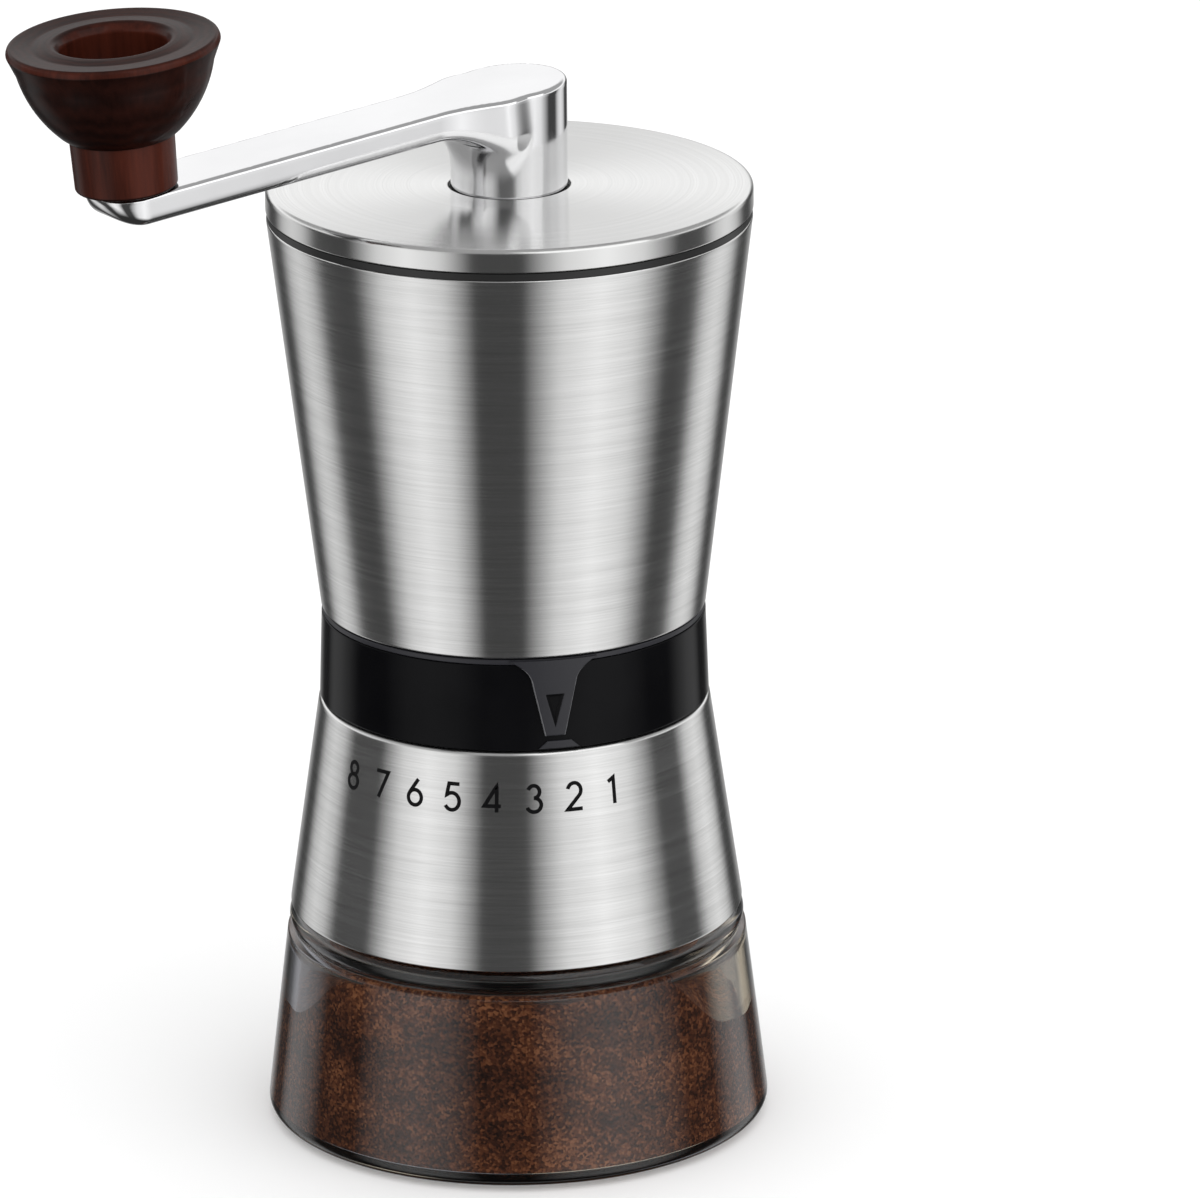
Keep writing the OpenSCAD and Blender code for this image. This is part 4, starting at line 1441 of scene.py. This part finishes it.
@dataclass
class Knob:
    """Turned wooden knob on its own axis, with a brass sleeve pressed into it."""

    at: Vector = field(default_factory=lambda: Vector(joint("knob_spin")["pos_m"]))
    axis: Vector = field(default_factory=lambda: Vector(joint("knob_spin")["axis"]).normalized())
    height: float = 23.73
    rim_r: float = 16.47
    neck_r: float = 7.9
    neck_h: float = 8.6
    recess_r: float = 8.2
    recess_z: float = 12.8

    def build(self, finishes: Finishes) -> None:
        """Make the knob and finish its sleeve.

        Args:
            finishes: the grinder's materials.
        """
        corners = [
            Corner(5.06, 0.25, 0.15),
            Corner(self.neck_r, 0.25, 0.5),
            Corner(self.neck_r + 0.2, self.neck_h, 0.12),
            Corner(self.neck_r + 0.72, self.neck_h + 0.12, 0.12),
            *arc(-4.54, 23.95, 20.19, -48.5, -12.2, 14)[1:],
            Corner(self.rim_r, self.height - 1.0, 0.8),
            Corner(self.rim_r - 0.35, self.height, 0.9),
            Corner(self.recess_r + 4.2, self.height - 0.35, 3.0),
            Corner(self.recess_r + 2.3, self.height - 0.12, 1.5),
            Corner(self.recess_r + 0.9, self.height - 0.02, 1.2),
            Corner(self.recess_r, self.height - 1.3, 1.2),
            Corner(self.recess_r, self.recess_z, 0.9),
            Corner(5.06, self.recess_z, 0.15),
        ]
        knob = turned("knob_turned", outline(corners, steps=8), segments=192)
        side = Vector((0, 0, 1)).rotation_difference(self.axis).to_matrix().to_4x4()
        knob.matrix_world = Matrix.Translation(self.at) @ side
        dress(knob, finishes.wood, "knob", ["knob"])
        finish_node("knob_sleeve", finishes.brass)


# ---------------------------------------------------------------- studio


@dataclass(frozen=True)
class SoftBox:
    """A soft upright panel of light, its middle and half width in degrees round the table from the front."""

    middle: float
    reach: float
    light: float
    tint: tuple[float, float, float] = (1.0, 1.0, 1.0)

    def stops(self, dark: float) -> list[tuple[float, tuple[float, float, float]]]:
        """Give the panel's stops, fading to the dark at both edges.

        Args:
            dark: brightness of the room between the panels.

        Returns:
            Pairs of a direction from 0 to 1 and a colour.
        """
        found = []
        for share, glow in ((-1.0, 0.0), (-0.5, 0.75), (0.0, 1.0), (0.5, 0.75), (1.0, 0.0)):
            turn = (self.middle + share * self.reach) / 360 + 0.5
            if 0.0 <= turn <= 1.0:
                found.append((turn, tuple(dark + glow * (self.light * c - dark) for c in self.tint)))
        return found


ROOM_DARK = 0.05
LAMPS = (
    SoftBox(-180, 25, 0.5),
    SoftBox(-125, 20, 0.7),
    SoftBox(-50, 32, 0.95),
    SoftBox(46, 40, 1.0),
    SoftBox(124, 20, 0.8),
    SoftBox(180, 25, 0.5),
)
COOL, WARM = (0.9, 0.9, 1.0), (1.0, 0.87, 0.68)
BEHIND_GLASS = (SoftBox(-135, 25, 0.3, COOL), SoftBox(122, 14, 0.8, WARM), SoftBox(155, 12, 0.6, WARM))


@dataclass
class Studio:
    """Pale table, soft light all round, and the camera."""

    camera_at: Vector = field(default_factory=lambda: Vector((0.0, -1.46556, 0.56784)))
    yaw: float = math.radians(0.537)
    pitch: float = math.radians(18.227)
    roll: float = math.radians(-0.426)
    lens: float = 291.24
    table: float = 3.0

    def build_camera(self) -> None:
        """Place the camera."""
        data = bpy.data.cameras.new("camera")
        data.lens, data.sensor_width = self.lens, 36.0
        data.clip_start, data.clip_end = 0.05, 20.0
        level = math.cos(self.pitch)
        ahead = Vector((math.sin(self.yaw) * level, math.cos(self.yaw) * level, -math.sin(self.pitch)))
        right = Vector((math.cos(self.yaw), -math.sin(self.yaw), 0))
        up = right.cross(ahead)
        c, s = math.cos(self.roll), math.sin(self.roll)
        turn = Matrix((c * right + s * up, -s * right + c * up, -ahead)).transposed()
        camera = bpy.data.objects.new("camera", data)
        camera.matrix_world = Matrix.Translation(self.camera_at) @ turn.to_4x4()
        bpy.context.scene.collection.objects.link(camera)
        bpy.context.scene.camera = camera

    def build_table(self) -> None:
        """Lay the plain pale table top."""
        bm = bmesh.new()
        bmesh.ops.create_grid(bm, x_segments=8, y_segments=8, size=self.table)
        mesh = bpy.data.meshes.new("table_top")
        bm.to_mesh(mesh)
        bm.free()
        top = bpy.data.objects.new("table_top", mesh)
        bpy.context.scene.collection.objects.link(top)
        g = Graph("table_white")
        pale = g.ramp(g.noise(g.place(), 3.0), [(0.3, (0.93, 0.93, 0.93)), (0.7, (0.95, 0.95, 0.95))])
        matt = g.add("BsdfPrincipled", Base_Color=pale, Roughness=0.9, Specular_IOR_Level=0.1)
        mesh.materials.append(g.shader(matt))
        top.visible_glossy = False
        top.visible_transmission = False

    def build_light(self) -> None:
        """Light everything evenly, and let polished pieces mirror a ring of panels."""
        world = bpy.data.worlds.new("studio")
        bpy.context.scene.world = world
        g = Graph("studio", world)
        way = g.add("TexCoord").outputs["Generated"]
        parts = g.add("SeparateXYZ", Vector=way)
        turn = g.maths("ARCTAN2", parts.outputs[0], g.maths("MULTIPLY", parts.outputs[1], -1.0))
        share = g.maths("ADD", g.maths("MULTIPLY", turn, 1 / (2 * math.pi)), 0.5)
        ring = g.ramp(share, [stop for box in LAMPS for stop in box.stops(ROOM_DARK)])
        front = g.maths("MAXIMUM", g.maths("MULTIPLY", parts.outputs[1], -0.4), 0.0)
        height = g.maths("SUBTRACT", parts.outputs[2], front)
        lift = g.add("MapRange", Value=height, From_Min=0.1, From_Max=0.26).outputs[0]
        panels = g.add("Mix", {"data_type": "RGBA"}, i0=lift, i6=ring, i7=(1.0, 1.0, 1.0, 1)).outputs[2]
        ground = g.add("MapRange", Value=parts.outputs[2], From_Min=-0.62, From_Max=-0.85).outputs[0]
        below = (0.03, 0.03, 0.03, 1)
        panels = g.add("Mix", {"data_type": "RGBA"}, i0=ground, i6=panels, i7=below).outputs[2]
        above = g.add("MapRange", Value=parts.outputs[2], From_Min=0.36, From_Max=0.5).outputs[0]
        panels = g.add("Mix", {"data_type": "RGBA"}, i0=above, i6=panels, i7=(0.35, 0.35, 0.35, 1)).outputs[2]
        cards = g.ramp(share, [stop for box in BEHIND_GLASS for stop in box.stops(ROOM_DARK)])
        path = g.add("LightPath")
        mirror = g.add("Background", Color=panels, Strength=1.06)
        through = g.add("Background", Color=cards, Strength=1.0)
        even = g.add("Background", Color=(1.0, 1.0, 1.0, 1), Strength=1.16)
        mix = g.add("MixShader", i0=path.outputs["Is Glossy Ray"], i1=even.outputs[0], i2=mirror.outputs[0])
        direct = g.maths("LESS_THAN", path.outputs["Diffuse Depth"], 0.5)
        seen = g.maths("MULTIPLY", path.outputs["Is Transmission Ray"], direct)
        mix = g.add("MixShader", i0=seen, i1=mix.outputs[0], i2=through.outputs[0])
        g.tree.links.new(mix.outputs[0], g.out.inputs[0])
        key = bpy.data.lights.new("key", "AREA")
        key.shape, key.size, key.size_y, key.energy = "RECTANGLE", 0.9, 0.6, 1.5
        lamp = bpy.data.objects.new("key", key)
        facing = Vector((0.45, -0.5, 0.65)).to_track_quat("Z", "Y").to_matrix().to_4x4()
        lamp.matrix_world = Matrix.Translation((0.45, -0.5, 0.75)) @ facing
        bpy.context.scene.collection.objects.link(lamp)

    def build(self) -> None:
        """Set the whole studio."""
        self.build_camera()
        self.build_table()
        self.build_light()
        view = bpy.context.scene.view_settings
        view.view_transform, view.look = "Standard", "None"


def main() -> None:
    """Build the studio and every sub-assembly in order."""
    logging.basicConfig(level=logging.INFO, format="%(message)s", stream=sys.stdout)
    Studio().build()
    finishes = Finishes()
    for assembly in (Jar(), Skirt(), ClickRing(), UpperBody(), Lid(), Crank(), Knob()):
        assembly.build(finishes)
        LOG.info("done with the %s", type(assembly).__name__)


if __name__ == "__main__":
    main()
